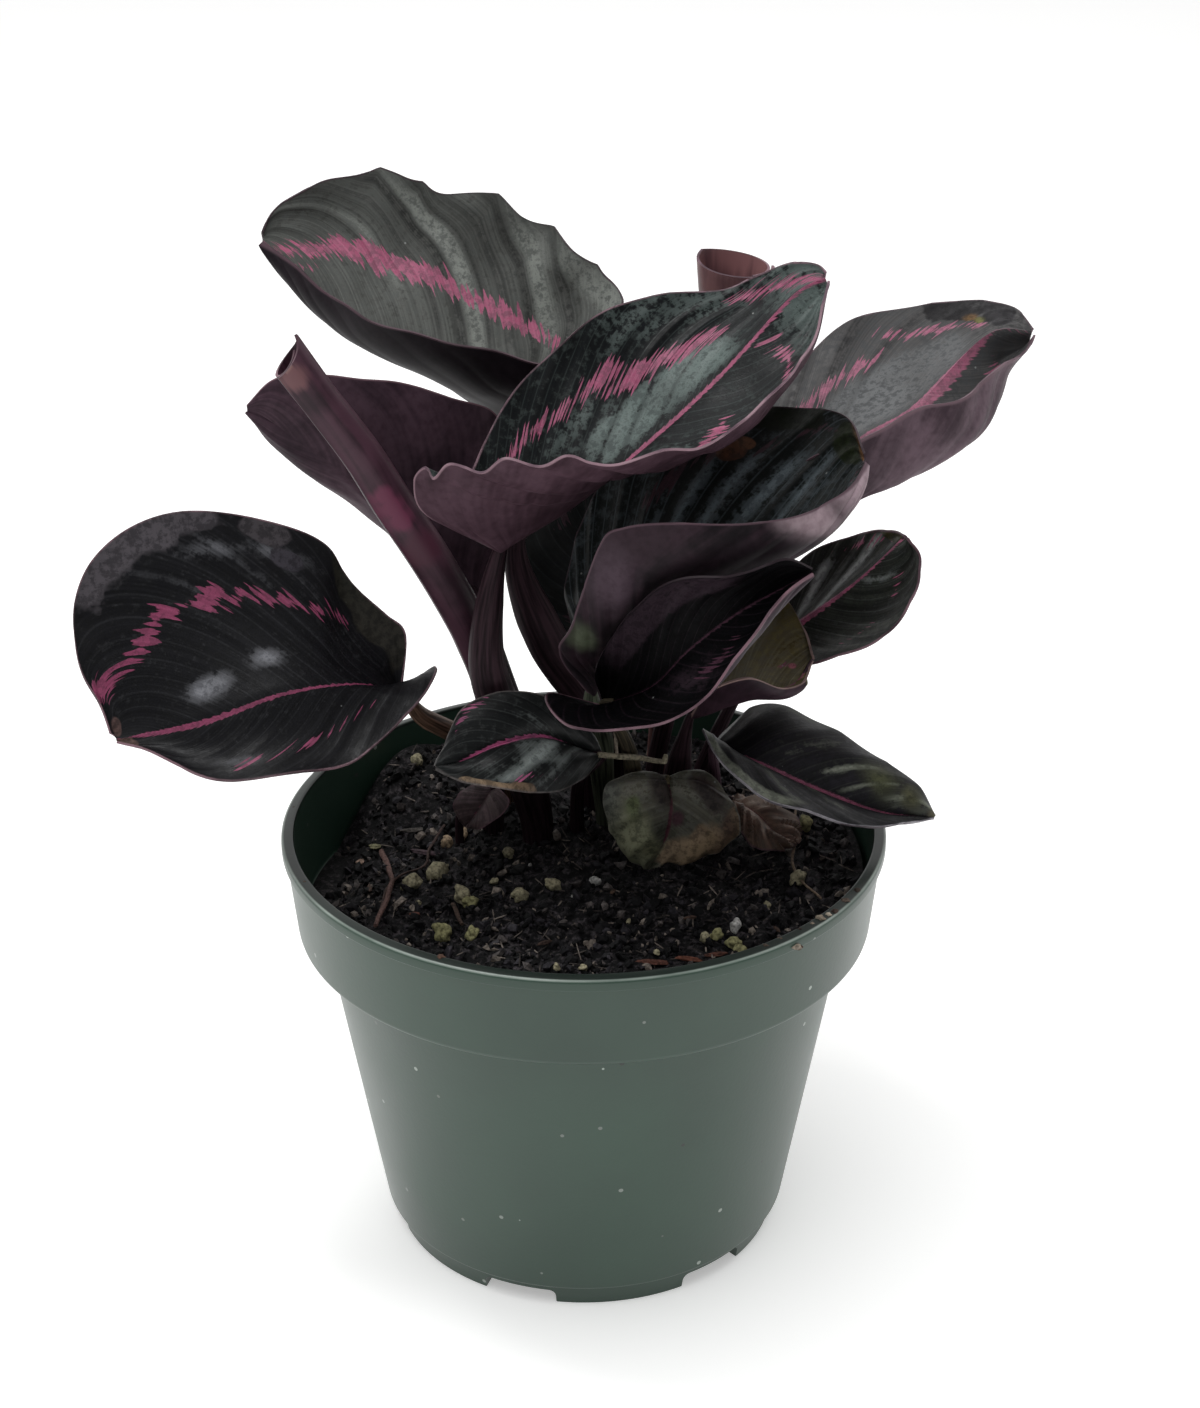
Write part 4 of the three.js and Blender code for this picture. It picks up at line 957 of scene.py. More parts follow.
# underside: smooth wine-purple skin, paler along the side veins
def leafUnderMaterial(name, leaf):
    material, tree = newMaterial(name)
    deep, pale = (linearColor(tone) for tone in leaf["under"])
    veins, depths, stain = bladeMaps(tree)
    place = addNode(tree, "TexCoord").outputs["Object"]
    streakPlace = addNode(tree, "Mapping", None, {0: veins, "Scale": leafSkin["underStreaks"]})
    streaks = addNode(tree, "TexNoise", None, {"Vector": streakPlace, "Scale": 1, "Detail": 3})
    clouds = addNode(tree, "TexNoise", None, {"Vector": place, "Scale": leafSkin["clouds"], "Detail": 5,
                                            "Roughness": 0.6})
    mottle = addNode(tree, "TexNoise", None, {"Vector": place, "Scale": leafSkin["flecks"], "Detail": 5})
    cloudDepth = addNode(tree, "Math", scaledSum, {0: streaks, 1: 0.5, 2: clouds})
    cloudLow, cloudHigh = leaf.get("cloudRange", (0.55, 0.95))
    cloudShare = addNode(tree, "MapRange", eased, {0: cloudDepth, 1: cloudLow, 2: cloudHigh})
    base = addNode(tree, "Mix", colorMix, {0: cloudShare, 6: deep, 7: pale})
    if leaf.get("stainUnder"):
        stainShare = addNode(tree, "MapRange", eased, {0: stain["Alpha"], 1: 0, 2: 0.8})
        base = addNode(tree, "Mix", colorMix, {0: stainShare, 6: base, 7: stain["Color"]})
    fleckShare = addNode(tree, "MapRange", eased, {0: mottle, 1: 0.4, 2: 0.7, 3: 0, 4: 0.35})
    fleck = linearColor(leafSkin["underShade"])
    flecked = addNode(tree, "Mix", darkening, {0: fleckShare, 6: base, 7: fleck})
    rimLeft, rimRight = leaf.get("rimShare", (1, 1))
    marginShare = addNode(tree, "Math", product,
                          {0: edgeShareOf(tree, depths), 1: byHalf(tree, veins, rimRight, rimLeft)})
    margin = linearColor(leaf.get("rim", leafSkin["margin"])[0])
    rimmed = addNode(tree, "Mix", colorMix, {0: marginShare, 6: flecked, 7: margin})
    bump = addNode(tree, "Bump", None, {"Strength": 0.1, "Distance": 0.5 * mm, "Height": streaks})
    finishMaterial(tree, {"Base Color": rimmed, "Roughness": leafSkin["underRoughness"], "Normal": bump,
                          "Specular IOR Level": leafSkin["underGloss"]})
    return material


# the blade's cut edge: a thin pale margin, dull in places
def leafRimMaterial(name, leaf):
    material, tree = newMaterial(name)
    bright, dull = (linearColor(tone) for tone in leaf.get("rim", leafSkin["margin"]))
    veins = addNode(tree, "Attribute", {"attribute_name": "veinPlace"}).outputs["Vector"]
    place = addNode(tree, "TexCoord").outputs["Object"]
    patch = addNode(tree, "TexNoise", None, {"Vector": place, "Scale": 70, "Detail": 3})
    dullShare = addNode(tree, "MapRange", eased, {0: patch, 1: 0.4, 2: 0.62})
    margin = addNode(tree, "Mix", colorMix, {0: dullShare, 6: bright, 7: dull})
    rimLeft, rimRight = leaf.get("rimShare", (1, 1))
    color = addNode(tree, "Mix", colorMix, {0: byHalf(tree, veins, rimRight, rimLeft),
                                            6: linearColor(leafSkin["hiddenMargin"]), 7: margin})
    finishMaterial(tree, {"Base Color": color, "Roughness": 0.5, "Specular IOR Level": 0.25})
    return material


# leaf stalk and sheath: fleshy, ribbed lengthwise, nearly matte
def stalkMaterial(name, deep, pale):
    material, tree = newMaterial(name)
    veins = addNode(tree, "Attribute", {"attribute_name": "veinPlace"}).outputs["Vector"]
    stretch = addNode(tree, "Mapping", None, {0: veins, "Scale": (1.2, 0.06, 1.2)})  # ribs 0.8 mm apart
    ribs = addNode(tree, "TexNoise", None, {"Vector": stretch, "Scale": 1, "Detail": 4})
    paleShare = addNode(tree, "MapRange", eased, {0: ribs, 1: 0.32, 2: 0.68})
    color = addNode(tree, "Mix", colorMix, {0: paleShare, 6: linearColor(deep), 7: linearColor(pale)})
    bump = addNode(tree, "Bump", None, {"Strength": 0.4, "Distance": 0.5 * mm, "Height": ribs})
    finishMaterial(tree, {"Base Color": color, "Roughness": 0.55, "Normal": bump, "Specular IOR Level": 0.1})
    return material


purpleSheath = stalkMaterial("purpleSheath", "#1a1115", "#3a2a30")
stalkLooks = {
    "leaf_front_black": stalkMaterial("olivePurpleStalk", "#211d19", "#4d4638"),
    "leaf_centre_right": stalkMaterial("greenGreyStalk", "#22261f", "#565c4c"),
    "leaf_low_left": stalkMaterial("brownStalk", "#3b2c24", "#7a6050"),
    "leaf_hanging": stalkMaterial("oliveStalk", "#2c281c", "#6f6650"),
    "leaf_low_right": stalkMaterial("wineStalk", "#261820", "#503c46"),
}


def makeLeaf(name, leaf, seed):
    blade, lines = makeBlade(name + "_blade", leaf, seed)
    blade.data.materials.append(leafUpperMaterial(name + "_waxySkin", leaf))
    blade.data.materials.append(leafUnderMaterial(name + "_purpleUnderside", leaf))
    blade.data.materials.append(leafRimMaterial(name + "_paleMargin", leaf))
    seat = lines["rib"].at(leafMake["stalkOverlap"]) / mm
    stalk = makeTube(name + "_stalk", [*leaf["stalk"], tuple(seat)],
                     [*leaf["stalkRadii"], leafMake["stalkEndRadius"]], leafMake["stalkSides"],
                     leafMake["stalkSteps"])
    stalk.data.materials.append(stalkLooks.get(name, purpleSheath))
    whole = joinPieces([blade, stalk], name + "_veined")
    standFor(whole, name)


for seed, (leafName, leaf) in enumerate(leaves.items()):
    makeLeaf(leafName, leaf, seed + 1)
print("leaves are made")


# young leaves, still rolled: a sheet wound round a path. blush: (place in mm, radius in mm, colour)
rollMake = {
    "pitch": 1.5,
    "mouthEasing": 0.4,
    "rows": 150,
    "columns": 260,
    "thickness": 0.7,
    "width": 60,  # the sheet's, for the patterns
    "stalkSteps": 40,
    "firstSeed": 41,
}
rolledLeaves = {
    "rolled_leaf_left": {
        "path": [(-24, 20, 130), (-25, 17, 149), (-29, 13, 165), (-33.5, 8.5, 178), (-40, 4, 193),
            (-48, 1, 208), (-55.5, -2, 223), (-65, -5, 238.5), (-74, -7, 253)],
        "radius": (2.8, 3.6, 4, 4.2, 4.3, 4.2, 4, 3.8, 4.2),
        "innerAngle": 685, "outerAngle": 235, "mouthFaces": 180, "mouthDepth": 0.045,
        "stalk": [(-25, 23, 92), (-25, 23, 112), (-24, 20, 136)], "stalkRadii": (2.8, 3.2, 3.4),
        "skin": ("#2b1b23", "#4f3440"), "sheath": ("#1a1115", "#3a2a30"),
        "blush": [((-50, -5, 213), 4, "#69344a"), ((-48, -5, 209.5), 5, "#69344a"),
            ((-46, -4, 206), 4.5, "#69344a"), ((-41, -2, 197), 7, "#4b2a37"),
            ((-70, -12, 246), 5, "#6f4d50"), ((-72, -13, 249), 3, "#8a6a66")],
    },
    "rolled_leaf_back": {
        "path": [(22, 47, 130), (27, 50, 165), (33, 51, 205), (38, 51, 234), (39.5, 51, 257)],
        "radius": (2.6, 3.2, 4, 5, 9),
        "innerAngle": -60, "outerAngle": 370, "mouthFaces": 330, "mouthDepth": 0.02,
        "stalk": [(20, 47, 92), (20, 47, 108), (22, 47, 138)], "stalkRadii": (2.4, 2.8, 3.2),
        "skin": ("#5d4246", "#946c6c"), "sheath": ("#46302f", "#7d5a58"),
        "blush": [((31, 48, 261), 5, "#77704c"), ((40, 58, 256), 10, "#8c6465"),
            ((44, 44, 250), 7, "#7b5157")],
    },
}


# the colour of the nearest blush, its alpha falling from 1 in the middle to 0 at its edge
def blushAt(spots, place):
    best = (0, 0, 0, 0)
    for centre, radius, tone in spots:
        nearness = 1 - (place - Vector(centre)).length / radius
        if nearness > best[3]:
            best = (*linearColor(tone)[:3], nearness)
    return best


# underside of a young leaf, which is all that shows of it: pinkish purple-brown, smooth
def rolledMaterial(name, leaf):
    material, tree = newMaterial(name)
    deep, pale = (linearColor(tone) for tone in leaf["skin"])
    veins = addNode(tree, "Attribute", {"attribute_name": "veinPlace"}).outputs["Vector"]
    stain = addNode(tree, "Attribute", {"attribute_name": "stain"}).outputs
    place = addNode(tree, "TexCoord").outputs["Object"]
    streakPlace = addNode(tree, "Mapping", None, {0: veins, "Scale": (0.4, 0.03, 1)})  # streaks 2.5 mm apart
    streaks = addNode(tree, "TexNoise", None, {"Vector": streakPlace, "Scale": 1, "Detail": 4})
    clouds = addNode(tree, "TexNoise", None, {"Vector": place, "Scale": 60, "Detail": 5})  # 17 mm across
    cloudDepth = addNode(tree, "Math", scaledSum, {0: streaks, 1: 0.6, 2: clouds})
    cloudShare = addNode(tree, "MapRange", eased, {0: cloudDepth, 1: 0.6, 2: 1})
    base = addNode(tree, "Mix", colorMix, {0: cloudShare, 6: deep, 7: pale})
    blushDepth = addNode(tree, "Math", scaledSum, {0: streaks, 1: 0.8, 2: stain["Alpha"]})
    blushShare = addNode(tree, "MapRange", eased, {0: blushDepth, 1: 0.4, 2: 1})
    blushed = addNode(tree, "Mix", colorMix, {0: blushShare, 6: base, 7: stain["Color"]})
    bump = addNode(tree, "Bump", None, {"Strength": 0.15, "Distance": 0.5 * mm, "Height": streaks})
    finishMaterial(tree, {"Base Color": blushed, "Roughness": 0.45, "Normal": bump,
                          "Specular IOR Level": 0.25})
    return material


def makeRolled(name, leaf, seed):
    path = Line(leaf["path"])
    bm = bmesh.new()
    placeLayer = bm.verts.layers.float_vector.new("veinPlace")
    stainLayer = bm.verts.layers.float_color.new("stain")
    bm.loops.layers.uv.new("UVMap")
    bmesh.ops.create_grid(bm, x_segments=rollMake["rows"], y_segments=rollMake["columns"], size=0.5,
                          calc_uvs=True)
    for v in bm.verts:
        share, wound = v.co.x + 0.5, v.co.y + 0.5
        degrees = leaf["innerAngle"] + (leaf["outerAngle"] - leaf["innerAngle"]) * wound
        facing = math.cos(math.radians(degrees - leaf["mouthFaces"]))
        place = share * (1 - leaf["mouthDepth"] * ((1 + facing) / 2) ** rollMake["mouthEasing"])
        radius = (alongValues(leaf["radius"], place) + rollMake["pitch"] * wound) * mm
        v[placeLayer] = (wound * rollMake["width"], place * path.length / mm, seed)
        v.co = aroundPath(path, place, math.radians(degrees), radius)
        v[stainLayer] = blushAt(leaf["blush"], v.co / mm)
    blade = objectFrom(bm, name + "_blade")
    thicken(blade, rollMake["thickness"], under=0, rim=1)
    blade.data.materials.append(rolledMaterial(name + "_smoothSkin", leaf))
    blade.data.materials.append(leafRimMaterial(name + "_paleMargin", {}))
    stalk = makeTube(name + "_stalk", leaf["stalk"], leaf["stalkRadii"], leafMake["stalkSides"],
                     rollMake["stalkSteps"])
    stalk.data.materials.append(stalkMaterial(name + "_sheath", *leaf["sheath"]))
    whole = joinPieces([blade, stalk], name + "_wound")
    standFor(whole, name)


for seed, (leafName, leaf) in enumerate(rolledLeaves.items()):
    makeRolled(leafName, leaf, seed + rollMake["firstSeed"])
print("young leaves are made")


# a moulded nursery pot, in mm; every profile point is (radius, height, corner radius)
pot = {
    "profile": [(52.5, 0, 1), (53.7, 6, 0.5), (55.5, 6.8, 0.6), (70, 90.8, 1.2), (76.5, 90.8, 1.6),
        (79, 114.4, 0.5), (80, 114.4, 0.6), (80, 117.4, 0.9), (76.8, 118, 0.7), (74.9, 92.4, 1.5),
        (68.4, 92.4, 1), (53.9, 6.8, 1), (50.9, 2, 1)],
    "steps": 240,
    "arcSteps": 4,
    "drainCount": 6,
    "firstDrain": 251,  # degrees
    "drainWidth": 20,
    "drainHeight": 4.2,
    "drainReach": 9,
    "drainCorner": 1.8,
    "greens": ("#273d32", "#2f473a"),
    "specks": ("#a9b2aa", "#151b18"),
    # the colour of the lip's darker top
    "darkTop": "#18221d",
    # a painted highlight along the lip's outer corner
    "lipHighlight": "#b4beb6",
    "lipTop": (116.9, 117.4),
    "lipCorner": (79.1, 79.6),
    "roughness": (0.3, 0.38),
}


def roundedCorners(profile, arcSteps):
    points = []
    for k, (radius, height, corner) in enumerate(profile):
        here = Vector((radius, height))
        if k in (0, len(profile) - 1):
            points.append(here)
            continue
        back = Vector(profile[k - 1][:2]) - here
        ahead = Vector(profile[k + 1][:2]) - here
        reach = min(corner, back.length * 0.45, ahead.length * 0.45)
        start, end = here + back.normalized() * reach, here + ahead.normalized() * reach
        for i in range(arcSteps + 1):
            w = i / arcSteps
            points.append(start * (1 - w) ** 2 + here * 2 * w * (1 - w) + end * w ** 2)
    return points


def turned(name, points, steps):
    bm = bmesh.new()
    verts = [bm.verts.new((p.x * mm, 0, p.y * mm)) for p in points]
    edges = [bm.edges.new(pair) for pair in zip(verts, verts[1:])]
    bmesh.ops.spin(bm, geom=verts + edges, cent=(0, 0, 0), axis=(0, 0, 1), angle=2 * math.pi, steps=steps,
                   use_merge=True)
    bmesh.ops.remove_doubles(bm, verts=bm.verts, dist=1e-6)
    bmesh.ops.recalc_face_normals(bm, faces=bm.faces)
    return objectFrom(bm, name)


# injection-moulded polypropylene: even green, satin, with dust, soil specks, a darker lip top and a painted
# highlight along the lip's outer corner
def potMaterial():
    material, tree = newMaterial("mouldedPolypropylene")
    dark, light = (linearColor(tone) for tone in pot["greens"])
    dusty, earthy = (linearColor(tone) for tone in pot["specks"])
    place = addNode(tree, "TexCoord").outputs["Object"]
    cloud = addNode(tree, "TexNoise", None, {"Vector": place, "Scale": 25, "Detail": 4})  # 40 mm across
    tone = addNode(tree, "MapRange", None, {0: cloud, 1: 0.3, 2: 0.7})
    base = addNode(tree, "Mix", colorMix, {0: tone, 6: dark, 7: light})
    # specks about 0.8 mm across, in one of five cells of 5 mm
    cells = addNode(tree, "TexVoronoi", None, {"Vector": place, "Scale": 190, "Randomness": 1}).outputs
    near = addNode(tree, "Math", {"operation": "LESS_THAN"}, {0: cells["Distance"], 1: 0.12})
    pick = addNode(tree, "SeparateXYZ", None, {0: cells["Color"]}).outputs
    rare = addNode(tree, "Math", {"operation": "GREATER_THAN"}, {0: pick[0], 1: 0.8})
    speck = addNode(tree, "Math", product, {0: near, 1: rare})
    speckTone = addNode(tree, "Mix", colorMix, {0: pick[1], 6: dusty, 7: earthy})
    specked = addNode(tree, "Mix", colorMix, {0: speck, 6: base, 7: speckTone})
    # the lip's darker top and the painted highlight along its outer corner, both by height and distance from
    # the axis
    height = addNode(tree, "SeparateXYZ", None, {0: place}).outputs[2]
    flat = addNode(tree, "Mapping", None, {0: place, "Scale": (1, 1, 0)})
    away = addNode(tree, "VectorMath", {"operation": "LENGTH"}, {0: flat}).outputs["Value"]
    lipLow, lipHigh = (value * mm for value in pot["lipTop"])
    inner, outer = (value * mm for value in pot["lipCorner"])
    top = addNode(tree, "MapRange", eased, {0: height, 1: lipLow, 2: lipHigh})
    inside = addNode(tree, "MapRange", eased, {0: away, 1: inner, 2: outer, 3: 1, 4: 0})
    darkTop = addNode(tree, "Math", product, {0: top, 1: inside})
    darkened = addNode(tree, "Mix", colorMix, {0: darkTop, 6: specked, 7: linearColor(pot["darkTop"])})
    # the painted highlight, broken up by noise
    highlightNoise = addNode(tree, "TexNoise", None, {"Vector": place, "Scale": 60, "Detail": 5})
    outside = addNode(tree, "MapRange", eased, {0: away, 1: inner, 2: outer})
    corner = addNode(tree, "Math", product, {0: top, 1: outside})
    highlightShare = addNode(tree, "Math", product, {0: corner, 1: highlightNoise})
    highlighted = addNode(tree, "Mix", colorMix, {0: highlightShare, 6: darkened, 7: linearColor(pot["lipHighlight"])})
    # a fine moulded grain, 1.1 mm wide: coarser than the real one, so that it shows
    grain = addNode(tree, "TexNoise", None, {"Vector": place, "Scale": 900, "Detail": 3})
    smoothest, roughest = pot["roughness"]
    roughness = addNode(tree, "MapRange", None, {0: cloud, 1: 0.3, 2: 0.7, 3: smoothest, 4: roughest})
    bump = addNode(tree, "Bump", None, {"Strength": 0.08, "Distance": 0.3 * mm, "Height": grain})
    finishMaterial(tree, {"Base Color": highlighted, "Roughness": roughness, "Normal": bump, "IOR": 1.49})
    return material


def makePot():
    foot, top = pot["profile"][0][0], pot["profile"][-1][1]
    points = [Vector((0, 0)), *roundedCorners(pot["profile"], pot["arcSteps"]), Vector((0, top))]
    body = turned("pot_moulded", points, pot["steps"])
    bm = bmesh.new()
    for k in range(pot["drainCount"]):
        angle = math.radians(pot["firstDrain"] + 360 / pot["drainCount"] * k)
        lengths = Vector((pot["drainReach"] * 2, pot["drainWidth"], pot["drainHeight"] * 2)) * mm
        place = Matrix.Rotation(angle, 4, "Z") @ Matrix.Translation((foot * mm, 0, 0))
        box = bmesh.ops.create_cube(bm, size=1, matrix=place @ Matrix.Diagonal((*lengths, 1)))
        edges = list(dict.fromkeys(e for v in box["verts"] for e in v.link_edges))  # each once, in order
        bmesh.ops.bevel(bm, geom=edges, offset=pot["drainCorner"] * mm, segments=4, profile=0.5,
                        affect="EDGES", material=-1)
    cutter = objectFrom(bm, "drain_cutter")
    cut = body.modifiers.new("drains", "BOOLEAN")
    cut.operation = "DIFFERENCE"
    cut.object = cutter
    body.data.materials.append(potMaterial())
    whole = joinPieces([body], "pot_moulded")
    bpy.data.objects.remove(cutter)
    standFor(whole, "pot")


makePot()
print("pot is made")


# heights, places and sizes in mm; mounds are (x, y, height, spread)
soil = {
    "level": 101,
    "right": 0.07,  # how much higher for each mm to the right
    "back": 0.075,
    "mounds": [(4, 22, 4, 22), (-52, 54, 11, 13), (-70, 20, -6.5, 16)],
    "sunk": 0.6,
    "topRadius": 74.4,
    "rings": 90,
    "steps": 300,
    "bottom": [(74.4, 92.8), (68.1, 92.8), (53.6, 7), (50.6, 2.4)],
    "clods": [(1.5, 9, 3), (1.1, 4, 7), (0.7, 1.7, 11)],  # height, width, seed
    "tones": ("#050506", "#6d666a"),
}


def soilHeight(x, y):
    height = soil["level"] + soil["right"] * x + soil["back"] * y
    for across, back, rise, spread in soil["mounds"]:
        height += rise * math.exp(-((x - across) ** 2 + (y - back) ** 2) / (2 * spread ** 2))
    return height


def clods(x, y):
    rise = 0
    for height, width, seed in soil["clods"]:
        rise += height * noise.noise(Vector((x / width, y / width, seed)))
    return rise


# damp peat: nearly black and crumbly, with paler fibre
def soilMaterial():
    material, tree = newMaterial("dampPeat")
    dark, fibre = (linearColor(tone) for tone in soil["tones"])
    place = addNode(tree, "TexCoord").outputs["Object"]
    # crumbs 2 mm across, broken up finer and finer
    crumbs = addNode(tree, "TexNoise", None, {"Vector": place, "Scale": 500, "Detail": 8, "Roughness": 0.75})
    tone = addNode(tree, "MapRange", None, {0: crumbs, 1: 0.5, 2: 0.78})
    color = addNode(tree, "Mix", colorMix, {0: tone, 6: dark, 7: fibre})
    bump = addNode(tree, "Bump", None, {"Strength": 1, "Distance": 1.2 * mm, "Height": crumbs})
    finishMaterial(tree, {"Base Color": color, "Roughness": 0.75, "Normal": bump, "Specular IOR Level": 0.5})
    return material


def makeSoil():
    rim, top = soil["topRadius"], soil["level"] - 1
    points = [Vector((rim * (k / soil["rings"]), top)) for k in range(soil["rings"] + 1)]
    points += [Vector(p) for p in soil["bottom"]] + [Vector((0, soil["bottom"][-1][1]))]
    ground = turned("peat", points, soil["steps"])
    for v in ground.data.vertices:
        if v.co.z > (top - 1) * mm:
            x, y = v.co.x / mm, v.co.y / mm
            share = smooth(1, 0.97, math.hypot(x, y) / rim)  # no clods at the wall
            v.co.z = (soilHeight(x, y) + clods(x, y) * share - soil["sunk"]) * mm
    ground.data.materials.append(soilMaterial())
    standFor(ground, "soil")
    ground.data.shade_smooth()


makeSoil()


# crumbs, lumps and chips take their colour from an attribute and their pores, 0.8 mm wide, from noise
def crumbMaterial(name, roughness):
    material, tree = newMaterial(name)
    place = addNode(tree, "TexCoord").outputs["Object"]
    tint = addNode(tree, "Attribute", {"attribute_name": "tint"}).outputs["Color"]
    pores = addNode(tree, "TexNoise", None, {"Vector": place, "Scale": 1200, "Detail": 5})
    shade = addNode(tree, "MapRange", None, {0: pores, 1: 0.35, 2: 0.6, 3: 0.65, 4: 0})
    color = addNode(tree, "Mix", darkening, {0: shade, 6: tint, 7: linearColor("#3c3630")})
    bump = addNode(tree, "Bump", None, {"Strength": 0.6, "Distance": 0.5 * mm, "Height": pores})
    finishMaterial(tree, {"Base Color": color, "Roughness": roughness, "Normal": bump})
    return material


# lumpy balls of 1 mm radius, each pushed in and out by its own noise
def crumbShapes(count, subdivisions, unevenness, rng):
    shapes = []
    for _ in range(count):
        bm = bmesh.new()
        bmesh.ops.create_icosphere(bm, subdivisions=subdivisions, radius=mm)
        offset = Vector((rng.random() * 100, 0, 0))
        for v in bm.verts:
            v.co *= 1 + unevenness * 2 * noise.noise(v.co / mm * 1.3 + offset)
        mesh = bpy.data.meshes.new("crumb")
        bm.to_mesh(mesh)
        bm.free()
        mesh.attributes.new("tint", "FLOAT_COLOR", "POINT")
        shapes.append(mesh)
    return shapes


def placed(x, y, z, turn, stretch):
    spin = Euler(turn).to_matrix().to_4x4()
    return Matrix.Translation(Vector((x, y, z)) * mm) @ spin @ Matrix.Diagonal((*stretch, 1))


# a place picked evenly over the soil
def somewhere(rng, reach):
    radius, angle = reach * math.sqrt(rng.random()), rng.random() * 2 * math.pi
    return radius * math.cos(angle), radius * math.sin(angle)


# copies of a few shapes, each placed, turned, stretched and tinted, gathered in one mesh
def gatherCrumbs(name, placements, shapes, material):
    bm = bmesh.new()
    for k, (matrix, tint) in enumerate(placements):
        shape = shapes[k % len(shapes)]
        shape.attributes["tint"].data.foreach_set("color", list(tint) * len(shape.vertices))
        shape.transform(matrix)
        bm.from_mesh(shape)
        shape.transform(matrix.inverted())
    crumbs = objectFrom(bm, name)
    crumbs.data.materials.append(material)
    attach(crumbs, "root")
    return crumbs


anyTurn = 6.3  # a little over a full turn, in radians
grains = {
    "count": 5200,
    "reach": 73,
    "sizes": (0.4, 1.9),
    "tones": ["#040405", "#050506", "#060607", "#080809", "#0a0a0b", "#0c0b0d", "#121113", "#161517",
        "#1c1b1e", "#252328", "#343136", "#5d5755", "#857b72"],
}


def makeGrains():
    rng = random.Random(5)
    shapes = crumbShapes(12, 1, 0.4, rng)
    placements = []
    smallest, largest = grains["sizes"]
    for _ in range(grains["count"]):
        x, y = somewhere(rng, grains["reach"])
        size = smallest + (largest - smallest) * rng.random() ** 3  # most are small
        z = soilHeight(x, y) + clods(x, y) - soil["sunk"] + size * 0.3
        turn = [rng.random() * anyTurn for _ in range(3)]
        stretch = (size, size * (0.5 + 0.5 * rng.random()), size * (0.4 + 0.5 * rng.random()))
        r, g, b, a = linearColor(rng.choice(grains["tones"]))
        light = 0.7 + 0.6 * rng.random()
        placements.append((placed(x, y, z, turn, stretch), (r * light, g * light, b * light, a)))
    gatherCrumbs("soil_crumbs", placements, shapes, crumbMaterial("peatCrumbs", 0.7))


makeGrains()

# lumps: (x, y, half size, tone), laid where they are seen
perlite = {
    "tones": ["#a39c80", "#96936a", "#c9c8c4", "#b09a7e"],
    "lumps": [(-39.5, 6.4, 3.4, 0), (-46.5, 1.5, 2.8, 0), (-36.7, -23.8, 3.2, 1), (-20.6, 9.8, 2, 0),
        (-16.9, -10.5, 2.6, 0), (-8.5, -6.7, 2.2, 0), (3, -7.4, 1.7, 2), (-29.1, -24.2, 2, 1),
        (-32.1, -8.1, 2.8, 0), (-30.2, -9.8, 2.2, 1), (-37.7, 20.8, 2.2, 3), (-33.7, 23.3, 2.2, 3),
        (-47.2, 48.8, 2, 0), (-38, 46.9, 1.2, 0), (39.3, -28.1, 1.8, 2), (34.2, -32.2, 2, 1),
        (38.6, -35, 2, 1), (40.2, -37.1, 1.8, 1), (31.3, -34, 1.8, 0), (18.9, -37.6, 1, 0),
        (0, -43, 1.3, 0), (-6.7, -43.2, 1.3, 0), (56.7, -9.3, 2.6, 0), (60.1, 16.8, 2.4, 1),
        (-14.5, 4, 0.6, 2), (-2.8, -11.2, 0.6, 2), (-24, -2, 1.2, 0), (-44, -8, 1, 0),
        (12, -22, 0.9, 0), (48, -20, 1, 0)],
}
# peat spilt on the lip: (x, y, z, half size, colour)
spilt = [(63.2, -47, 117.7, 0.9, "#4a3d36"), (59.3, -50.5, 117.7, 1.3, "#8d8272"),
    (53.9, -55.8, 117.6, 0.8, "#3a322d"), (48.7, -60.2, 117.6, 0.7, "#6b5d50"),
    (44.9, -63.5, 117.6, 0.8, "#4a4038"), (66.2, -41.6, 117.6, 1.1, "#5d5148"),
    (69.6, -36.5, 117.7, 0.9, "#3f3731"), (61.5, -48.6, 117.7, 0.8, "#b5aa98"),
    (57.2, -53, 117.6, 0.7, "#97897a"), (-71, -32, 117.6, 0.6, "#5d5148"),
    (-34.6, -69, 117.7, 1.1, "#5c4438"), (52.6, -60.4, 115.4, 1.3, "#9a8f80"),
    (53.6, -59.4, 114.6, 0.9, "#5d4438"), (-77.5, 8, 117.5, 0.6, "#4a4038"),
    (-62, -46.5, 117.6, 0.5, "#6b5d50")]


def makeLumps():
    rng = random.Random(8)
    shapes = crumbShapes(6, 3, 0.28, rng)
    placements = []
    for x, y, size, tone in perlite["lumps"]:
        z = soilHeight(x, y) + clods(x, y) + size * 0.35
        turn = (rng.random(), rng.random(), rng.random() * anyTurn)
        lump = placed(x, y, z, turn, (size, size * 0.8, size * 0.7))
        placements.append((lump, linearColor(perlite["tones"][tone])))
    for x, y, z, size, tone in spilt:
        placements.append((placed(x, y, z, (0, 0, 0), (size, size * 0.8, size * 0.5)), linearColor(tone)))
    lumps = gatherCrumbs("perlite_lumps", placements, shapes, crumbMaterial("expandedPerlite", 0.9))
    lumps.data.shade_smooth()


makeLumps()

# chips: (x, y, length, width, degrees, colour)
bark = [(18.3, -41.4, 9, 2, 10, "#5c3a30"), (27.3, -41, 8, 2, 0, "#6b4234"), (34, -40, 6, 1.8, 15, "#5c3a30"),
    (-61.9, 21.1, 3.5, 2, 60, "#a08878"), (-57.9, 25, 4, 2, 20, "#8d8a6a"),
    (-44.6, -13.6, 2.6, 1.6, 0, "#6e463c"), (7.7, -11.9, 3, 1.2, 70, "#5f4c40"),
    (27.7, -24, 4, 1.5, 30, "#4c3a32"), (-47, 28, 9, 1.6, 15, "#55504c"), (-43, 16, 11, 1.8, -15, "#4a3a40"),
    (-10, -30, 5, 1.4, 40, "#43342e"), (50, -30, 4, 1.3, 110, "#4b3b33"), (60, 2, 5, 1.5, 80, "#3f332d"),
    (-25, 40, 5, 1.6, 10, "#4f4238"), (-58, 5, 5, 1.3, 95, "#54433a")]


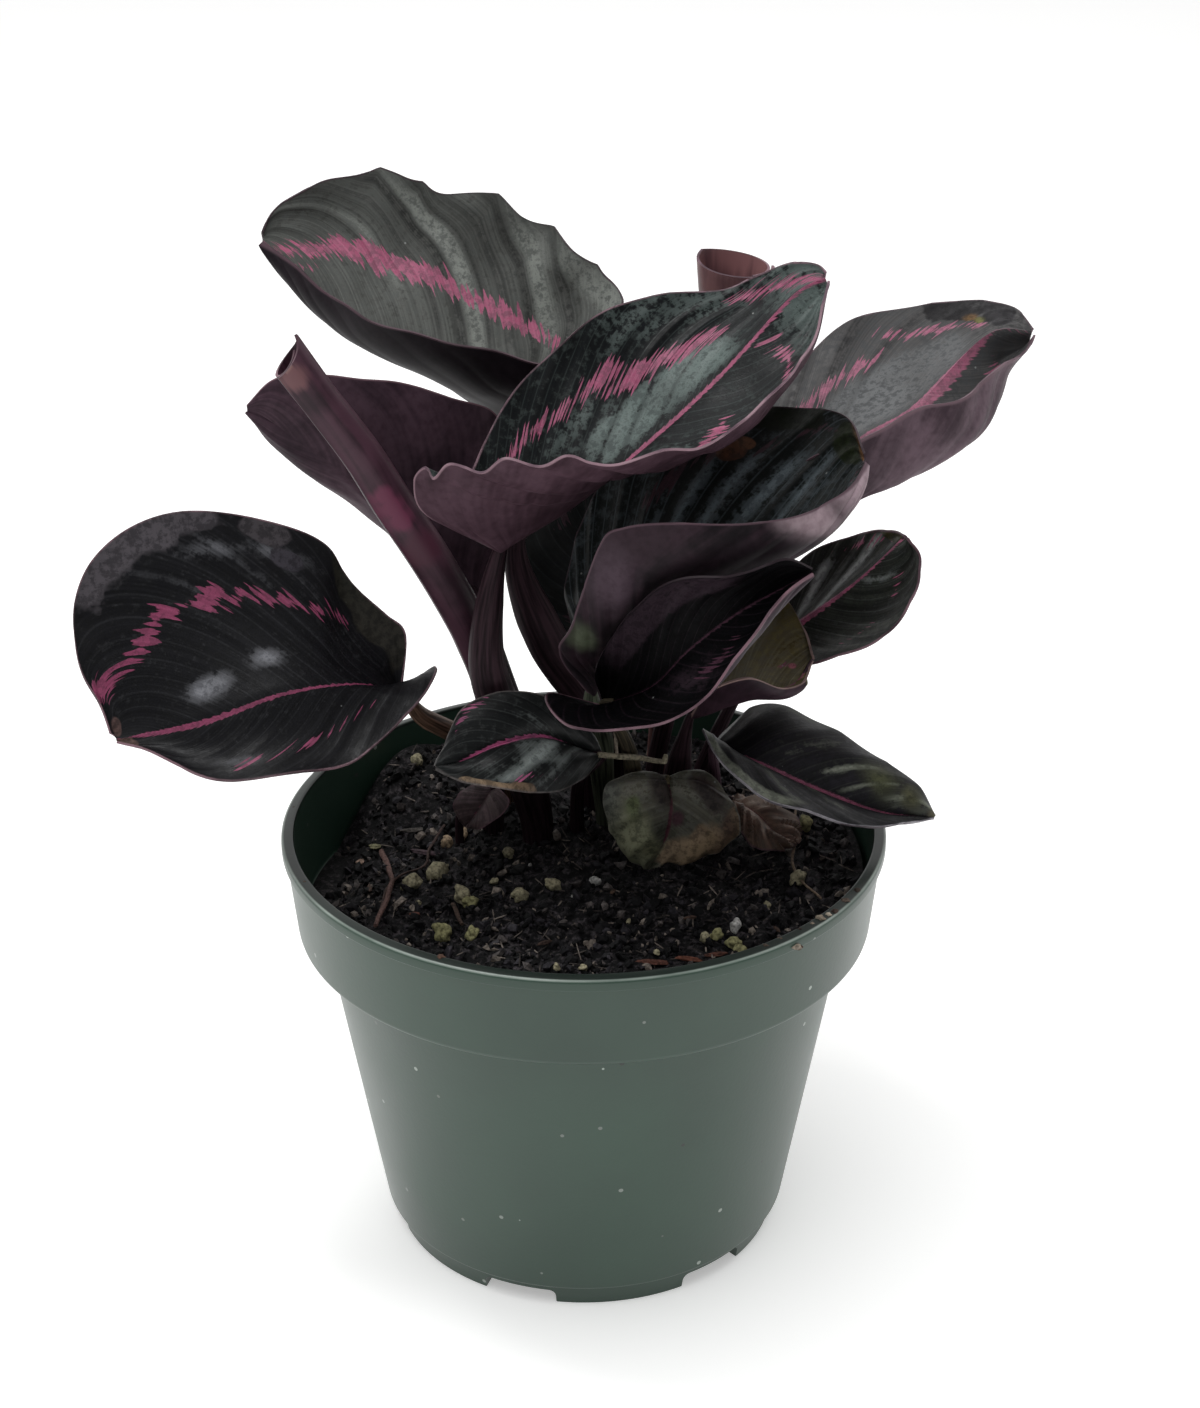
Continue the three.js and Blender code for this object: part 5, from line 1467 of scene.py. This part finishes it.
def makeBark():
    rng = random.Random(9)
    shapes = crumbShapes(5, 2, 0.25, rng)
    placements = []
    for x, y, length, width, angle, tone in bark:
        z = soilHeight(x, y) + clods(x, y) + 0.5
        turn = (0.2 * rng.random(), 0.2 * rng.random(), math.radians(angle))
        placements.append((placed(x, y, z, turn, (length / 2, width / 2, 0.5)), linearColor(tone)))
    gatherCrumbs("bark_chips", placements, shapes, crumbMaterial("pineBark", 0.8))


makeBark()

# short peat fibres lying every way; lengths and widths are halves
fibres = {"count": 700, "reach": 72, "length": (1, 3.2), "width": (0.12, 0.3), "height": (0.12, 0.25),
          "tones": ["#2b2729", "#3d3835", "#57504c", "#8a8078"]}


def makeFibres():
    rng = random.Random(12)
    shapes = crumbShapes(4, 1, 0.2, rng)
    placements = []
    for _ in range(fibres["count"]):
        x, y = somewhere(rng, fibres["reach"])
        z = soilHeight(x, y) + clods(x, y) + 0.1
        turn = (0, rng.uniform(-0.5, 0.5), rng.random() * anyTurn)
        stretch = [rng.uniform(*fibres[key]) for key in ("length", "width", "height")]
        tone = rng.choice(fibres["tones"])
        placements.append((placed(x, y, z, turn, stretch), linearColor(tone)))
    gatherCrumbs("peat_fibres", placements, shapes, crumbMaterial("peatFibre", 0.8))


makeFibres()

# fine roots, straws and the dry twig that leans on the stalks: points, radius, colour
strands = [
    ([(-37, 30, 102), (-42, 18, 100), (-43, 10, 99), (-52, 3, 97), (-55, -18, 96.5)], 0.35, "#4a3a36"),
    ([(-56, 24, 95.5), (-52, 6, 97), (-53, -8, 97.2), (-55, -19, 96.8)], 0.7, "#705650"),
    ([(-55, 52, 102), (-49, 47, 102), (-36, 40, 103)], 0.5, "#a39c88"),
    ([(-34.6, -12, 99.5), (-31.8, -22, 99)], 0.6, "#4c3c34"),
    ([(57.6, 20.5, 112), (57, 8, 110), (55.5, -2, 107), (57, -9, 106), (62, -20, 105.5)], 0.35, "#8d7a68"),
    ([(3.8, -7, 141), (8.5, -5.5, 140), (12.7, -4.4, 139), (17, -2.5, 137.5), (21.3, -1, 136.3)], 0.75,
     "#8f8772"),
    ([(21.3, -1, 136), (21.6, -1, 138.3)], 0.7, "#a39a82"),
    ([(7.9, -4, 147), (8.3, -4.6, 143), (8.8, -5.4, 139.6)], 0.5, "#8a7f72"),
]


def makeStrands():
    noise.seed_set(5)  # noise_vector is shifted by this, or else by the clock
    pieces = []
    skin = crumbMaterial("dryRoot", 0.8)
    for k, (points, radius, tone) in enumerate(strands):
        piece = makeTube(f"root_{k}", points, [radius, radius * 1.1, radius * 0.8], 7, 30)
        for v in piece.data.vertices:
            v.co += noise.noise_vector(v.co * 150) * (0.6 * mm)  # bends 7 mm apart
        tint = piece.data.attributes.new("tint", "FLOAT_COLOR", "POINT")
        tint.data.foreach_set("color", list(linearColor(tone)) * len(piece.data.vertices))
        piece.data.materials.append(skin)
        pieces.append(piece)
    whole = joinPieces(pieces, "fine_roots")
    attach(whole, "root")


makeStrands()
print("soil is made")
